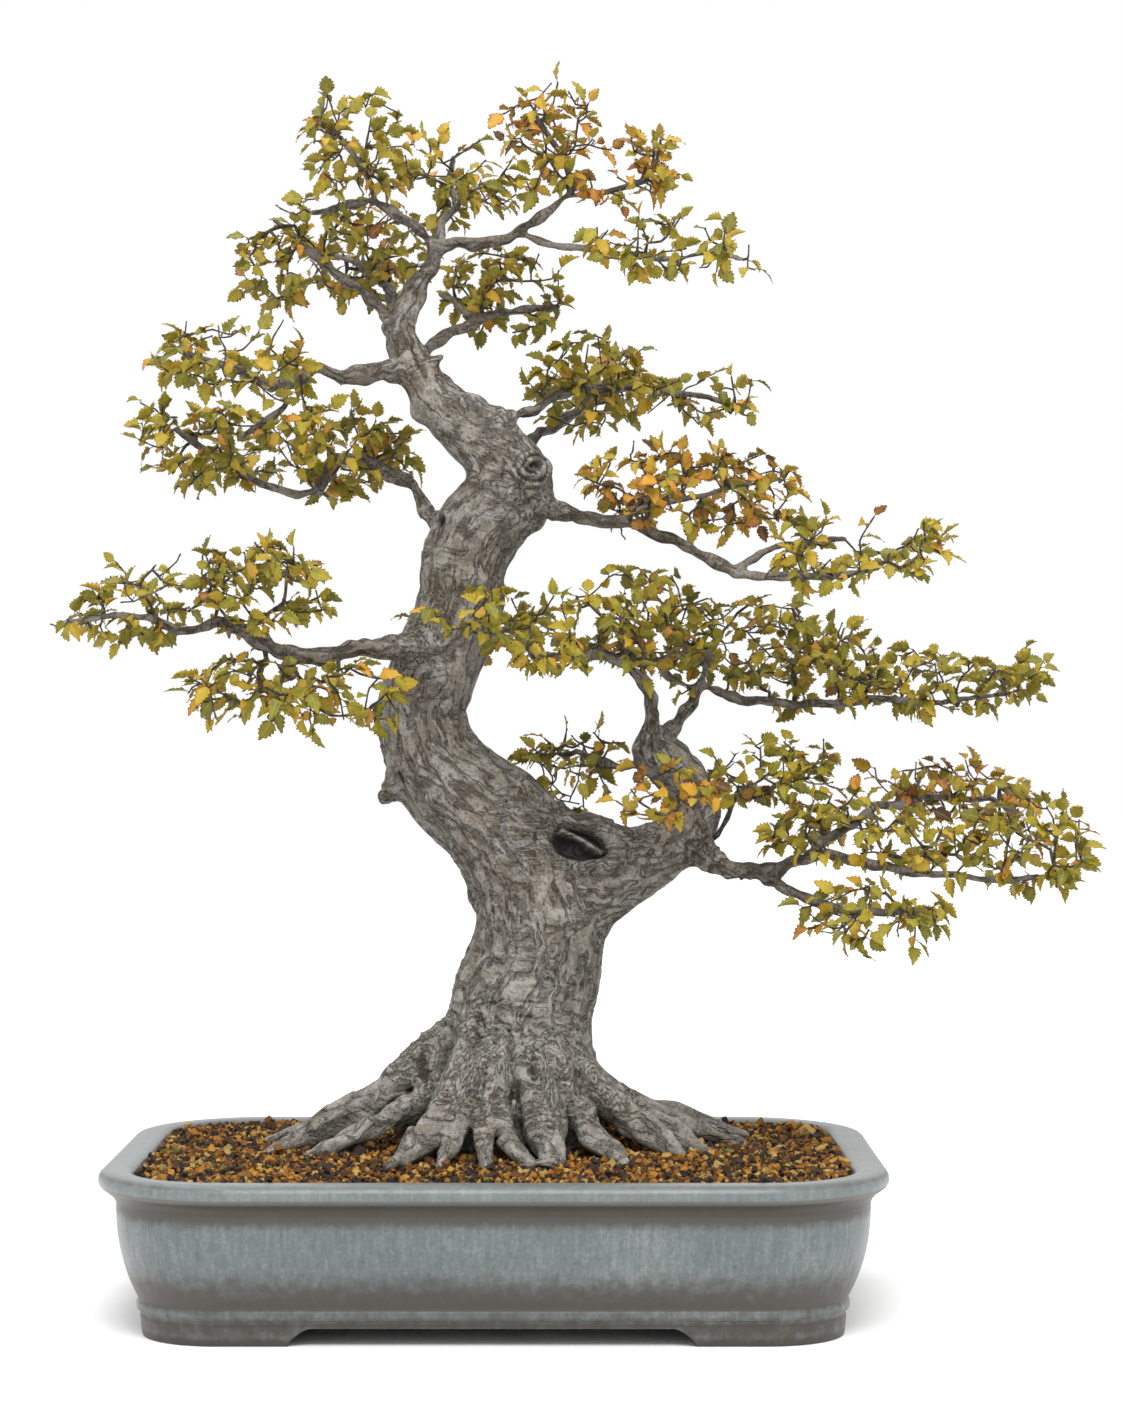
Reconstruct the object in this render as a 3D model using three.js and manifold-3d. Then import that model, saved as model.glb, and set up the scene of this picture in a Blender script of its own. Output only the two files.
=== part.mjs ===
// A bonsai tree in a glazed stoneware pot. Millimetres, +Z up, the feet stand on Z = 0.
// The pot, soil and drainage are drawn about the pot's centre. The tree is drawn above the
// soil line, as stems that taper along a route and as rounded clouds of foliage.
import * as THREE from "three";
import { mergeVertices } from "three/addons/utils/BufferGeometryUtils.js";
import Module from "manifold-3d";

const wasm = await Module();
wasm.setup();

// ---------------------------------------------------------------- driving sizes
const FIT_GAP = 0.3; // between pieces that touch

const POT_LENGTH = 460; // over the lip
const POT_DEPTH = 326;
const POT_HEIGHT = 94;
const POT_CORNER_RADIUS = 84; // at the lip
const CORNER_TIGHTENING = 1.4; // how much faster than the inset the corners get smaller below it
const LIP_HEIGHT = 11.5;
const LIP_WIDTH = 22; // from its outer edge to the opening
const NECK_INSET = 11; // the hollow under the lip, in from the lip's edge
const NECK_HEIGHT = 8; // of the cove between the wall and the lip
const BASE_INSET = 25; // the foot of the wall, in from the lip's edge
const WALL_CURVE = 2.3; // higher keeps the wall upright for longer before it tucks in
const WALL_THICKNESS = 10;
const FLOOR_THICKNESS = 11;
const BAND_HEIGHT = 6; // the raised bead round the foot of the wall
const BAND_BULGE = 1.6;
const BAND_ABOVE_FOOT = 4.5;
const FOOT_HEIGHT = 10;
const FOOT_LENGTH = 89; // along the front, from the pot's side
const FOOT_REACH = 62; // along the side, from the pot's front
const FOOT_THICKNESS = 17;
const FOOT_BRACKET = 12; // how far each foot's curved end runs out along the pot
const FOOT_SET_BACK = 2; // of a foot's sole, in from the foot of the wall
const FOOT_SEAT = 1.5; // how far the feet run up into the pot
const DRAIN_HOLE_DIAMETER = 26;
const DRAIN_HOLE_SPACING = 190;
const DRAIN_HOLE_SIDES = 18;
const FLOOR_CORNER_FILL = 4; // the hollow's corner between the wall and the floor isn't sharp

const SCREEN_SIZE = 50;
const SCREEN_THICKNESS = 1.6;
const SCREEN_OPENING = 6.4; // each square opening of the screen
const SCREEN_PITCH = 9;
const CLIP_WIRE_DIAMETER = 1.8;
const CLIP_TAIL = 9; // the bent end under the pot

const SOIL_BELOW_RIM = 2;
const SOIL_MOUND = 5; // rise from the pot's wall to the trunk

const TREE_HEIGHT = 646; // soil line to the highest leaves
const TRUNK_WAIST = 79.8; // diameter of the trunk above its root flare
const LIMB_DIAMETER = 20.6; // of the low left limb at the trunk; the others keep their ratio to it
const ROOT_REACH = 154; // of the longest surface root, from the pot's centre
const ROOT_BASE_DEPTH = 26; // of the trunk's foot under the soil line

// The tree's routes below are drawn for these sizes.
const DRAWN_TREE_HEIGHT = 646;
const DRAWN_TRUNK_WAIST = 79.8;
const DRAWN_LIMB_DIAMETER = 20.6;
const DRAWN_ROOT_REACH = 154;

// ---------------------------------------------------------------- derived sizes
const SOIL_LINE = POT_HEIGHT - SOIL_BELOW_RIM;
const FLOOR_TOP = FOOT_HEIGHT + FLOOR_THICKNESS;
const treeScale = TREE_HEIGHT / DRAWN_TREE_HEIGHT;
const trunkGirth = TRUNK_WAIST / DRAWN_TRUNK_WAIST;
const limbGirth = LIMB_DIAMETER / DRAWN_LIMB_DIAMETER;
const rootScale = ROOT_REACH / DRAWN_ROOT_REACH;

// ---------------------------------------------------------------- finishes
const finish = (color, roughness) =>
  new THREE.MeshStandardMaterial({ color, roughness, metalness: 0 });
const GLAZE = finish(0x7e8a8c, 0.4);
const SOIL_GRAIN = finish(0x7a5a34, 0.95);
const SCREEN_PLASTIC = finish(0x2b2e30, 0.6);
const CLIP_METAL = new THREE.MeshStandardMaterial({ color: 0xb0a79c, roughness: 0.4, metalness: 1 });
const BARK = finish(0x81796c, 0.85);
const LIMB_BARK = finish(0x756b5c, 0.85);
const LEAF_GREEN = finish(0x97902f, 0.7);
const LEAF_GOLD = finish(0xb98a2c, 0.7);

// ---------------------------------------------------------------- solids
/** A closed geometry as a manifold-3d solid. */
function solidOf(geometry) {
  const bare = new THREE.BufferGeometry();
  const source = geometry.index ? geometry.toNonIndexed() : geometry;
  bare.setAttribute("position", source.getAttribute("position"));
  const merged = mergeVertices(bare, 1e-4);
  return new wasm.Manifold(
    new wasm.Mesh({
      numProp: 3,
      vertProperties: merged.attributes.position.array,
      triVerts: new Uint32Array(merged.index.array),
    }),
  );
}

/** A solid as a geometry for a mesh. */
function geometryOf(solid) {
  const mesh = solid.getMesh();
  const positions = new Float32Array(mesh.numVert * 3);
  for (let i = 0; i < mesh.numVert; i++) {
    const start = i * mesh.numProp;
    positions.set(mesh.vertProperties.subarray(start, start + 3), i * 3);
  }
  const geometry = new THREE.BufferGeometry();
  geometry.setAttribute("position", new THREE.BufferAttribute(positions, 3));
  geometry.setIndex(new THREE.BufferAttribute(mesh.triVerts, 1));
  return geometry;
}

/** One solid from several that overlap. */
const joined = (solids) => solids.reduce((whole, solid) => whole.add(solid));

/** What is left of a solid when others are taken away. */
const cutBy = (solid, cutters) => cutters.reduce((rest, cutter) => rest.subtract(cutter), solid);

/** A closed skin through a stack of rings, each a loop of as many points, capped at both ends. */
function loft(rings) {
  const count = rings[0].length;
  const corners = [];
  const centres = [rings[0], rings.at(-1)].map((ring) =>
    ring.reduce((sum, point) => sum.add(point), new THREE.Vector3()).divideScalar(count),
  );
  for (let i = 0; i < count; i++) {
    const next = (i + 1) % count;
    corners.push(centres[0], rings[0][next], rings[0][i]);
    for (let r = 1; r < rings.length; r++) {
      const [low, high] = [rings[r - 1], rings[r]];
      corners.push(low[i], low[next], high[next], low[i], high[next], high[i]);
    }
    corners.push(centres[1], rings.at(-1)[i], rings.at(-1)[next]);
  }
  return new THREE.BufferGeometry().setFromPoints(corners);
}

// ---------------------------------------------------------------- pot outline and profile
const CORNER_STEPS = 5;

/** The pot's rounded rectangle, moved in from the lip's edge, at one height. */
function potOutline(inset, height) {
  const halfLength = POT_LENGTH / 2 - inset;
  const halfDepth = POT_DEPTH / 2 - inset;
  const radius = Math.max(POT_CORNER_RADIUS - CORNER_TIGHTENING * inset, 6);
  const points = [];
  for (let corner = 0; corner < 4; corner++) {
    const sideX = corner === 0 || corner === 3 ? 1 : -1;
    const sideY = corner < 2 ? 1 : -1;
    for (let step = 0; step <= CORNER_STEPS; step++) {
      const angle = (corner + step / CORNER_STEPS) * (Math.PI / 2);
      const x = sideX * (halfLength - radius) + radius * Math.cos(angle);
      const y = sideY * (halfDepth - radius) + radius * Math.sin(angle);
      points.push(new THREE.Vector3(x, y, height));
    }
  }
  return points;
}

const BAND_BOTTOM = FOOT_HEIGHT + BAND_ABOVE_FOOT;
const BAND_TOP = BAND_BOTTOM + BAND_HEIGHT;
const LIP_BOTTOM = POT_HEIGHT - LIP_HEIGHT;
const WALL_TOP = LIP_BOTTOM - NECK_HEIGHT;

/** How far the outside of the wall stands in from the lip's edge at a height. */
function wallInset(height) {
  const rise = THREE.MathUtils.clamp((height - BAND_TOP) / (WALL_TOP - BAND_TOP), 0, 1);
  return NECK_INSET + (BASE_INSET - NECK_INSET) * Math.pow(1 - rise, WALL_CURVE);
}

/** The pot's outside from its underside to the inner edge of its lip, as [inset, height]. */
function outsideProfile() {
  const wallHeights = [0.02, 0.18, 0.4, 0.7, 1].map((t) => BAND_TOP + t * (WALL_TOP - BAND_TOP));
  return [
    [BASE_INSET + 3, FOOT_HEIGHT],
    [BASE_INSET + 1, FOOT_HEIGHT + 1.2],
    [BASE_INSET + 0.6, BAND_BOTTOM],
    [BASE_INSET - BAND_BULGE, BAND_BOTTOM + BAND_HEIGHT * 0.3],
    [BASE_INSET - BAND_BULGE, BAND_TOP - BAND_HEIGHT * 0.3],
    ...wallHeights.map((height) => [wallInset(height), height]),
    [NECK_INSET - 0.8, LIP_BOTTOM - NECK_HEIGHT * 0.35],
    [NECK_INSET * 0.5, LIP_BOTTOM],
    [NECK_INSET * 0.1, LIP_BOTTOM + LIP_HEIGHT * 0.2],
    [0, LIP_BOTTOM + LIP_HEIGHT * 0.5],
    [LIP_WIDTH * 0.08, POT_HEIGHT - LIP_HEIGHT * 0.16],
    [LIP_WIDTH * 0.28, POT_HEIGHT],
    [LIP_WIDTH * 0.75, POT_HEIGHT],
    [LIP_WIDTH * 0.95, POT_HEIGHT - LIP_HEIGHT * 0.14],
  ];
}

/** The hollow of the pot, or what fills it to a height, shrunk all round by a gap. */
function insideRings(top, gap) {
  const heights = [0, 0.1, 0.45, 1].map((t) => FLOOR_TOP + gap + t * (top - FLOOR_TOP - gap));
  return heights.map((height, i) => {
    const cornerFill = i === 0 ? FLOOR_CORNER_FILL : 0;
    const inset = Math.max(wallInset(height) + WALL_THICKNESS, LIP_WIDTH) + gap + cornerFill;
    return potOutline(inset, height);
  });
}

/** A bar with curved ends that opens the space between two feet, along X or along Y. */
function footGap(halfSpan, length, alongX) {
  const below = -2;
  const toe = FOOT_HEIGHT * 0.1; // the upright edge that each foot keeps at the ground
  const shoulder = FOOT_BRACKET * 0.45;
  const waist = FOOT_HEIGHT * 0.75;
  const shape = new THREE.Shape();
  shape.moveTo(-halfSpan, below);
  shape.lineTo(-halfSpan, toe);
  shape.quadraticCurveTo(-halfSpan + shoulder, waist, -halfSpan + FOOT_BRACKET, FOOT_HEIGHT);
  shape.lineTo(halfSpan - FOOT_BRACKET, FOOT_HEIGHT);
  shape.quadraticCurveTo(halfSpan - shoulder, waist, halfSpan, toe);
  shape.lineTo(halfSpan, below);
  const bar = new THREE.ExtrudeGeometry(shape, { depth: length, bevelEnabled: false, curveSegments: 4 });
  bar.translate(0, 0, -length / 2);
  bar.rotateX(Math.PI / 2);
  if (alongX) bar.rotateZ(Math.PI / 2);
  return solidOf(bar);
}

const drainHoles = [-DRAIN_HOLE_SPACING / 2, DRAIN_HOLE_SPACING / 2];

/** The pot: its wall, lip and floor as one skin, with four feet, the hollow and the drain holes. */
function makePot() {
  const outside = outsideProfile().map(([inset, height]) => potOutline(inset, height));
  const footSole = potOutline(BASE_INSET + FOOT_SET_BACK, 0);
  const footTop = potOutline(BASE_INSET + FOOT_SET_BACK * 0.4, FOOT_HEIGHT + FOOT_SEAT);
  const footInner = BASE_INSET + FOOT_THICKNESS;
  const footRing = solidOf(loft([footSole, footTop])).subtract(
    solidOf(loft([potOutline(footInner, -1), potOutline(footInner, FOOT_HEIGHT)])));
  const frontSpan = POT_LENGTH / 2 - BASE_INSET - FOOT_LENGTH;
  const sideSpan = POT_DEPTH / 2 - BASE_INSET - FOOT_REACH;
  const feet = footRing
    .subtract(footGap(frontSpan, POT_DEPTH * 1.2, false))
    .subtract(footGap(sideSpan, POT_LENGTH * 1.2, true));
  const hollow = solidOf(loft(insideRings(POT_HEIGHT + 1, 0)));
  const holes = drainHoles.map((x) => {
    const radius = DRAIN_HOLE_DIAMETER / 2;
    const bore = new THREE.CylinderGeometry(radius, radius, FLOOR_TOP * 2, DRAIN_HOLE_SIDES);
    bore.rotateX(Math.PI / 2);
    bore.translate(x, 0, FLOOR_TOP);
    return solidOf(bore);
  });
  return cutBy(solidOf(loft(outside)).add(feet), [hollow, ...holes]);
}

// ---------------------------------------------------------------- drainage
const SCREEN_BOTTOM = FLOOR_TOP + FIT_GAP;
const SCREEN_TOP = SCREEN_BOTTOM + SCREEN_THICKNESS;
const CLIP_BAR = SCREEN_TOP + FIT_GAP + CLIP_WIRE_DIAMETER / 2;
const CLIP_UNDER = FOOT_HEIGHT - FIT_GAP - CLIP_WIRE_DIAMETER / 2;
const CLIP_BEND = 2.4; // how far before and after each corner the wire starts to turn
const CLIP_SIDES = 6;

/** A box as a solid, from its sizes and its middle. */
function boxSolid(sizes, middle) {
  const box = new THREE.BoxGeometry(...sizes);
  box.translate(...middle);
  return solidOf(box);
}

/** A plastic screen that lies over a drain hole and keeps the soil in. */
function makeScreen(x) {
  const middle = (SCREEN_BOTTOM + SCREEN_TOP) / 2;
  const sheet = boxSolid([SCREEN_SIZE, SCREEN_SIZE, SCREEN_THICKNESS], [x, 0, middle]);
  const pitches = [-SCREEN_PITCH, 0, SCREEN_PITCH];
  const opening = [SCREEN_OPENING, SCREEN_OPENING, SCREEN_THICKNESS * 2];
  const openings = pitches.flatMap((column) =>
    pitches.map((row) => boxSolid(opening, [x + column, row, middle])));
  return cutBy(sheet, openings);
}

/** The wire staple that holds a screen: over it, down the hole and out under the pot. */
function makeClip(x, clearance = 0) {
  const wire = CLIP_WIRE_DIAMETER / 2 + clearance;
  const leg = SCREEN_PITCH;
  const tip = leg + CLIP_TAIL;
  const side = [
    [tip, CLIP_UNDER],
    [leg + CLIP_BEND, CLIP_UNDER],
    [leg + CLIP_BEND * 0.2, CLIP_UNDER + CLIP_BEND * 0.25],
    [leg, CLIP_UNDER + CLIP_BEND],
    [leg, CLIP_BAR - CLIP_BEND],
    [leg - CLIP_BEND * 0.25, CLIP_BAR - CLIP_BEND * 0.25],
    [leg - CLIP_BEND, CLIP_BAR],
  ];
  const mirrored = side.map(([along, height]) => [-along, height]).reverse();
  const route = [...side, ...mirrored].map(([along, height]) => [x + along, 0, height, wire]);
  return solidOf(stemGeometry(route, CLIP_SIDES));
}

// ---------------------------------------------------------------- stems
/**
 * A stem that tapers along a route of [x, y, z, radius] points, with rounded ends.
 * Its rings turn as little as they can from one to the next, so it doesn't twist.
 */
function stemGeometry(route, sides) {
  const points = route.map(([x, y, z]) => new THREE.Vector3(x, y, z));
  const last = points.length - 1;
  const directions = points.map((point, i) => {
    const before = points[Math.max(i - 1, 0)];
    const after = points[Math.min(i + 1, last)];
    const arrive = point.clone().sub(before).normalize();
    const leave = after.clone().sub(point).normalize();
    return arrive.add(leave).normalize();
  });
  const side = new THREE.Vector3(0, 1, 0);
  if (Math.abs(side.dot(directions[0])) > 0.9) side.set(1, 0, 0);
  const rings = [];
  const addRing = (centre, direction, radius) => {
    side.addScaledVector(direction, -side.dot(direction)).normalize();
    const across = new THREE.Vector3().crossVectors(direction, side);
    const ring = [];
    for (let i = 0; i < sides; i++) {
      const angle = (2 * Math.PI * i) / sides;
      const out = side.clone().multiplyScalar(Math.cos(angle)).addScaledVector(across, Math.sin(angle));
      ring.push(centre.clone().addScaledVector(out, radius));
    }
    rings.push(ring);
  };
  const radii = route.map((point) => point[3]);
  const bluntEnd = (i, outward) => {
    const centre = points[i].clone().addScaledVector(directions[i], outward * radii[i] * 0.6);
    addRing(centre, directions[i], radii[i] * 0.55);
  };
  bluntEnd(0, -1);
  points.forEach((point, i) => addRing(point, directions[i], radii[i]));
  bluntEnd(last, 1);
  return loft(rings);
}

// How round each kind of stem is.
const TRUNK_SIDES = 14;
const SMALL_TRUNK_SIDES = 10;
const ROOT_SIDES = 6;
const LIMB_SIDES = 6;

/** A route of the tree, drawn above the soil line, at the tree's own height and girth. */
function grown(route, girth, clearance) {
  return route.map(([x, y, z, radius]) => [
    x * treeScale, y * treeScale, SOIL_LINE + z * treeScale, radius * girth + clearance,
  ]);
}

/** A surface root: it reaches out with ROOT_REACH and keeps to the soil's height. */
function rooted(route, clearance) {
  return route.map(([x, y, z, radius]) => [
    x * rootScale, y * rootScale, SOIL_LINE + z, radius * trunkGirth + clearance,
  ]);
}

const LOWER_TRUNK = [
  [13, 0, 0, 48], [13, 0, 24, 48], [13, 0, 46, 46.5], [13, 0, 68, 45.5], [15, 0, 92, 43],
  [24, -2, 116, 39.9], [28, -4, 141, 39.9], [20, -5, 170, 37.5], [-3, -6, 204, 33.8],
  [-24, -4, 219, 31.4], [-39, -2, 236, 29.7], [-45, 0, 255, 27.9], [-46, 2, 274, 26.7],
  [-33, 4, 304, 26], [-22, 4, 334, 26], [-21, 3, 356, 26.7], [-10, 0, 378, 26.7], [6, -4, 398, 25],
];
const UPPER_TRUNK = [
  [16, -5, 400, 24], [4, -5, 419, 22.4], [-15, -4, 436, 19.3], [-29, -2, 448, 16.9],
  [-41, 0, 461, 14.2], [-48, 0, 472, 12.7], [-56, 1, 486, 12.1], [-60, 2, 498, 11.2],
  [-55, 2, 511, 9.7], [-47, 1, 525, 8.5], [-39, 0, 539, 6.9], [-36, -2, 548, 6.2],
];

const SURFACE_ROOTS = [
  [[-10, -2, 78, 17], [-29, -6, 64, 17.4], [-44, -10, 51, 16], [-66, -15, 36, 12.4],
    [-87, -17, 28, 10.2], [-106, -20, 19, 8.4], [-123, -25, 8, 5.4], [-139, -29, 2, 2.6]],
  [[-86, -10, 27, 8.2], [-110, 4, 17, 5.2], [-126, 12, 9, 3.8], [-140, 18, 4, 2]],
  [[-20, -22, 50, 13], [-47, -33, 34, 8.6], [-68, -37, 23, 6.6], [-87, -42, 14, 4.8],
    [-100, -47, 7, 3.2], [-108, -50, 4, 2]],
  [[-6, -24, 68, 20], [-18, -46, 44, 17], [-31, -62, 25, 13], [-45, -76, 12, 8.2], [-58, -90, 3, 3.6]],
  [[-20, -56, 32, 9], [-24, -76, 15, 5.8], [-31, -96, 3, 2.6]],
  [[0, -30, 62, 18], [-5, -56, 32, 10], [-6, -76, 15, 6.2], [-3, -96, 3, 3]],
  [[1, -54, 32, 8], [9, -68, 17, 5], [22, -84, 4, 2.6]],
  [[27, -20, 70, 20], [29, -50, 39, 15.5], [28, -68, 19, 11.4], [33, -88, 5, 5.4]],
  [[38, -26, 56, 14], [49, -50, 25, 8], [62, -62, 12, 6.2], [74, -77, 3, 3]],
  [[38, -18, 60, 15], [59, -28, 40, 12.6], [78, -34, 26, 10.4], [92, -40, 14, 7.4], [105, -47, 5, 3.2]],
  [[32, -4, 64, 16], [54, -8, 43, 14], [77, -12, 27, 10.6], [97, -16, 18, 8.6], [114, -21, 11, 6.4],
    [126, -27, 3, 3]],
  [[32, 10, 52, 14], [70, 14, 32, 10], [96, 18, 20, 8], [120, 18, 12, 5.6], [147, 14, 3, 2.6]],
  [[30, 18, 52, 14], [62, 30, 33, 11], [88, 38, 21, 9], [118, 46, 16, 6.4], [154, 54, 3, 2.8]],
  [[30, 22, 60, 17], [50, 58, 31, 12], [68, 86, 14, 7.4], [84, 108, 3, 3]],
  [[8, 26, 62, 18], [-4, 66, 30, 12.5], [-14, 96, 13, 7.6], [-22, 122, 3, 3]],
  [[20, 44, 34, 10], [28, 76, 18, 7], [36, 106, 6, 3]],
  [[-12, 18, 66, 17], [-42, 46, 36, 12.5], [-72, 70, 16, 8], [-102, 88, 3, 3]],
];

const RIGHT_TRUNK = [
  [26, -4, 132, 34], [58, -4, 162, 27.2], [88, -4, 177, 21.2], [111, -2, 190, 18.8],
  [121, 2, 206, 17], [115, 5, 223, 15.8], [101, 6, 238, 15.2], [92, 6, 250, 13],
];

/** The trunk, with its root flare and surface roots, grown by a clearance. */
function makeTrunk(clearance = 0) {
  const foot = [13, 0, -ROOT_BASE_DEPTH / treeScale, 38];
  const stems = [
    solidOf(stemGeometry(grown([foot, ...LOWER_TRUNK], trunkGirth, clearance), TRUNK_SIDES)),
    solidOf(stemGeometry(grown(UPPER_TRUNK, trunkGirth, clearance), SMALL_TRUNK_SIDES)),
    ...SURFACE_ROOTS.map((route) => solidOf(stemGeometry(rooted(route, clearance), ROOT_SIDES))),
  ];
  return joined(stems);
}

const makeRightTrunk = (clearance = 0) =>
  solidOf(stemGeometry(grown(RIGHT_TRUNK, trunkGirth, clearance), SMALL_TRUNK_SIDES));

// Each limb is its main stem and then its forks, which start inside it.
const LIMBS = {
  limb_left_low: [
    [[-34, 0, 309, 10.3], [-57, -20, 306, 9], [-85, -42, 303, 7.5], [-114, -56, 300, 7.1],
      [-130, -62, 303, 6.4], [-148, -68, 313, 5.3], [-163, -71, 319, 4.2], [-184, -73, 314, 3.2],
      [-202, -72, 322, 2.5], [-225, -68, 322, 2], [-250, -62, 320, 1.6]],
    [[-58, -21, 305, 5], [-41, -42, 302, 3.6], [-28, -54, 304, 3], [-8, -64, 319, 2]],
  ],
  limb_left_mid: [
    [[-30, 4, 370, 9.6], [-44, 14, 389, 6.8], [-51, 22, 404, 5.9], [-64, 29, 411, 5.6],
      [-84, 38, 424, 5.3], [-98, 44, 422, 5.3], [-107, 49, 413, 5], [-112, 53, 403, 4.5],
      [-125, 58, 402, 3.8], [-148, 63, 408, 3.1], [-172, 67, 424, 2.5], [-202, 70, 443, 2]],
  ],
  limb_left_high: [
    [[-48, 0, 476, 8.5], [-70, -12, 471, 7.2], [-92, -24, 466, 5.8], [-105, -32, 472, 5.4],
      [-118, -38, 466, 5.1], [-132, -43, 459, 4.7], [-146, -50, 468, 3.6], [-166, -57, 472, 2.7],
      [-186, -62, 479, 1.8]],
    [[-124, -40, 463, 4.2], [-124, -44, 449, 3.2], [-138, -50, 437, 2.4], [-150, -55, 429, 1.6]],
  ],
  limb_left_top: [
    [[-58, 2, 497, 6.7], [-74, 16, 516, 5.2], [-89, 26, 528, 4.6], [-102, 34, 538, 4],
      [-115, 42, 549, 3.3], [-128, 49, 562, 2.5], [-140, 55, 573, 1.8]],
  ],
  limb_apex_left: [
    [[-37, 0, 548, 5.4], [-49, -8, 560, 4.8], [-61, -15, 566, 4.2], [-73, -22, 572, 3.6],
      [-90, -30, 569, 2.7], [-110, -40, 564, 1.8]],
    [[-71, -21, 571, 2.9], [-81, -14, 595, 2.2], [-94, -8, 614, 1.6]],
  ],
  limb_apex_mid: [
    [[-34, 2, 550, 4.6], [-33, 14, 564, 4], [-25, 26, 575, 3.1], [-30, 36, 594, 2.2], [-28, 41, 608, 1.6]],
  ],
  limb_apex_right: [
    [[-36, -3, 546, 5.6], [-15, -8, 550, 5.1], [6, -14, 551, 4.8], [19, -19, 558, 4.5],
      [32, -24, 567, 3.9], [46, -28, 577, 3.5], [43, -24, 592, 2.7], [33, -18, 610, 2.1],
      [24, -13, 628, 1.5]],
    [[42, -27, 574, 3], [66, -36, 575, 2.4], [88, -44, 581, 1.6]],
  ],
  limb_right_top: [
    [[10, -15, 552, 3.2], [30, -26, 547, 2.7], [51, -34, 543, 2.4], [75, -42, 537, 2.1],
      [99, -50, 535, 1.8], [125, -56, 537, 1.5], [146, -59, 532, 1.2]],
  ],
  limb_upper_inner: [
    [[-53, 4, 478, 7], [-34, 20, 495, 5.3], [-16, 33, 505, 4.9], [2, 46, 513, 3.9],
      [22, 56, 516, 2.8], [36, 62, 519, 2]],
    [[-13, 35, 505, 3.2], [-26, 38, 518, 2.4], [-36, 41, 525, 1.6]],
  ],
  limb_right_high: [
    [[-10, 2, 438, 8.4], [9, 14, 446, 5.1], [24, 24, 451, 4.6], [35, 32, 461, 4.3],
      [56, 42, 466, 3.7], [80, 50, 468, 3], [105, 57, 466, 2.3], [133, 62, 461, 1.8],
      [154, 65, 456, 1.3]],
  ],
  limb_right_mid: [
    [[16, -6, 393, 11.4], [38, -18, 387, 7.4], [63, -28, 382, 5.8], [90, -40, 376, 5],
      [116, -50, 362, 4.1], [142, -58, 347, 3.8], [168, -65, 346, 2.9], [197, -72, 345, 2.3],
      [224, -78, 351, 1.7]],
    [[70, -31, 380, 3.8], [93, -22, 392, 2.8], [124, -10, 397, 2.2], [150, -2, 403, 1.6]],
    [[140, -58, 348, 3.2], [156, -52, 361, 2.4], [182, -44, 367, 1.9], [208, -40, 369, 1.5]],
  ],
  limb_right_inner: [
    [[92, 3, 246, 9.6], [95, -8, 266, 6.1], [89, -20, 283, 5.4], [78, -32, 296, 4.8],
      [63, -42, 300, 3.6], [42, -52, 300, 2.7], [20, -60, 301, 2]],
  ],
  limb_right_outer: [
    [[94, 8, 246, 9.6], [110, 16, 259, 6.4], [120, 20, 272, 5.5], [124, 24, 285, 5],
      [134, 28, 280, 4.3], [150, 34, 273, 4], [176, 40, 271, 3.4], [207, 46, 271, 3],
      [238, 52, 274, 2.5], [276, 57, 272, 2], [310, 61, 277, 1.5]],
    [[123, 23, 282, 4.2], [129, 22, 301, 3.1], [134, 18, 316, 2.2]],
    [[121, 25, 280, 3.6], [106, 34, 287, 2.8], [95, 46, 301, 2.5], [79, 58, 324, 1.9]],
  ],
  limb_right_low: [
    [[113, -2, 190, 13.6], [127, -10, 179, 9.2], [141, -16, 171, 7.2], [160, -22, 171, 6.6],
      [178, -27, 178, 5.4], [197, -31, 182, 4.8], [218, -34, 176, 3.9], [248, -34, 171, 3.1],
      [280, -30, 168, 2.5], [315, -24, 166, 1.9], [340, -19, 166, 1.5]],
    [[156, -21, 171, 5.6], [173, -34, 162, 4.5], [190, -46, 154, 3.8], [213, -56, 148, 2.9],
      [238, -66, 150, 2.2], [254, -70, 152, 1.6]],
    [[186, -28, 181, 4.4], [207, -8, 194, 3.6], [232, 16, 208, 3.1], [268, 38, 214, 2.5],
      [304, 54, 211, 2], [328, 62, 202, 1.5]],
    [[123, -9, 181, 4.6], [126, -34, 196, 2.8], [117, -50, 210, 2.2], [102, -58, 219, 1.6]],
  ],
  limb_crotch: [
    [[100, 5, 236, 6.4], [77, 12, 233, 4.3], [63, 19, 235, 3.4], [48, 26, 242, 2.4]],
  ],
  limb_back_low: [
    [[-32, 8, 300, 9.4], [-28, 48, 311, 6.2], [-18, 85, 319, 4.6], [-12, 115, 325, 3.2], [-19, 148, 331, 2]],
    [[-23, 68, 315, 4], [1, 100, 318, 2.9], [18, 126, 321, 2]],
  ],
  limb_back_high: [
    [[2, 4, 414, 9], [15, 44, 431, 5.6], [36, 80, 447, 4.2], [59, 112, 462, 3.1], [76, 142, 473, 2]],
  ],
  limb_back_top: [
    [[-58, 4, 498, 6.2], [-64, 38, 521, 4.3], [-75, 72, 538, 3.3], [-94, 104, 553, 2.4],
      [-112, 130, 562, 1.8]],
  ],
};

/** A limb and its forks. With a clearance it is the space that other pieces leave for it. */
const makeLimb = (stems, clearance = 0) =>
  joined(stems.map((route) => solidOf(stemGeometry(grown(route, limbGirth, clearance), LIMB_SIDES))));

/** The plain square way through the foliage that a limb runs in. */
function limbChannel(stems) {
  const corner = 1 / Math.cos(Math.PI / 4);
  return joined(stems.map((route) => {
    const wide = grown(route, limbGirth, FIT_GAP).map(([x, y, z, radius]) => [x, y, z, radius * corner]);
    return solidOf(stemGeometry(wide, 4));
  }));
}

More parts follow.
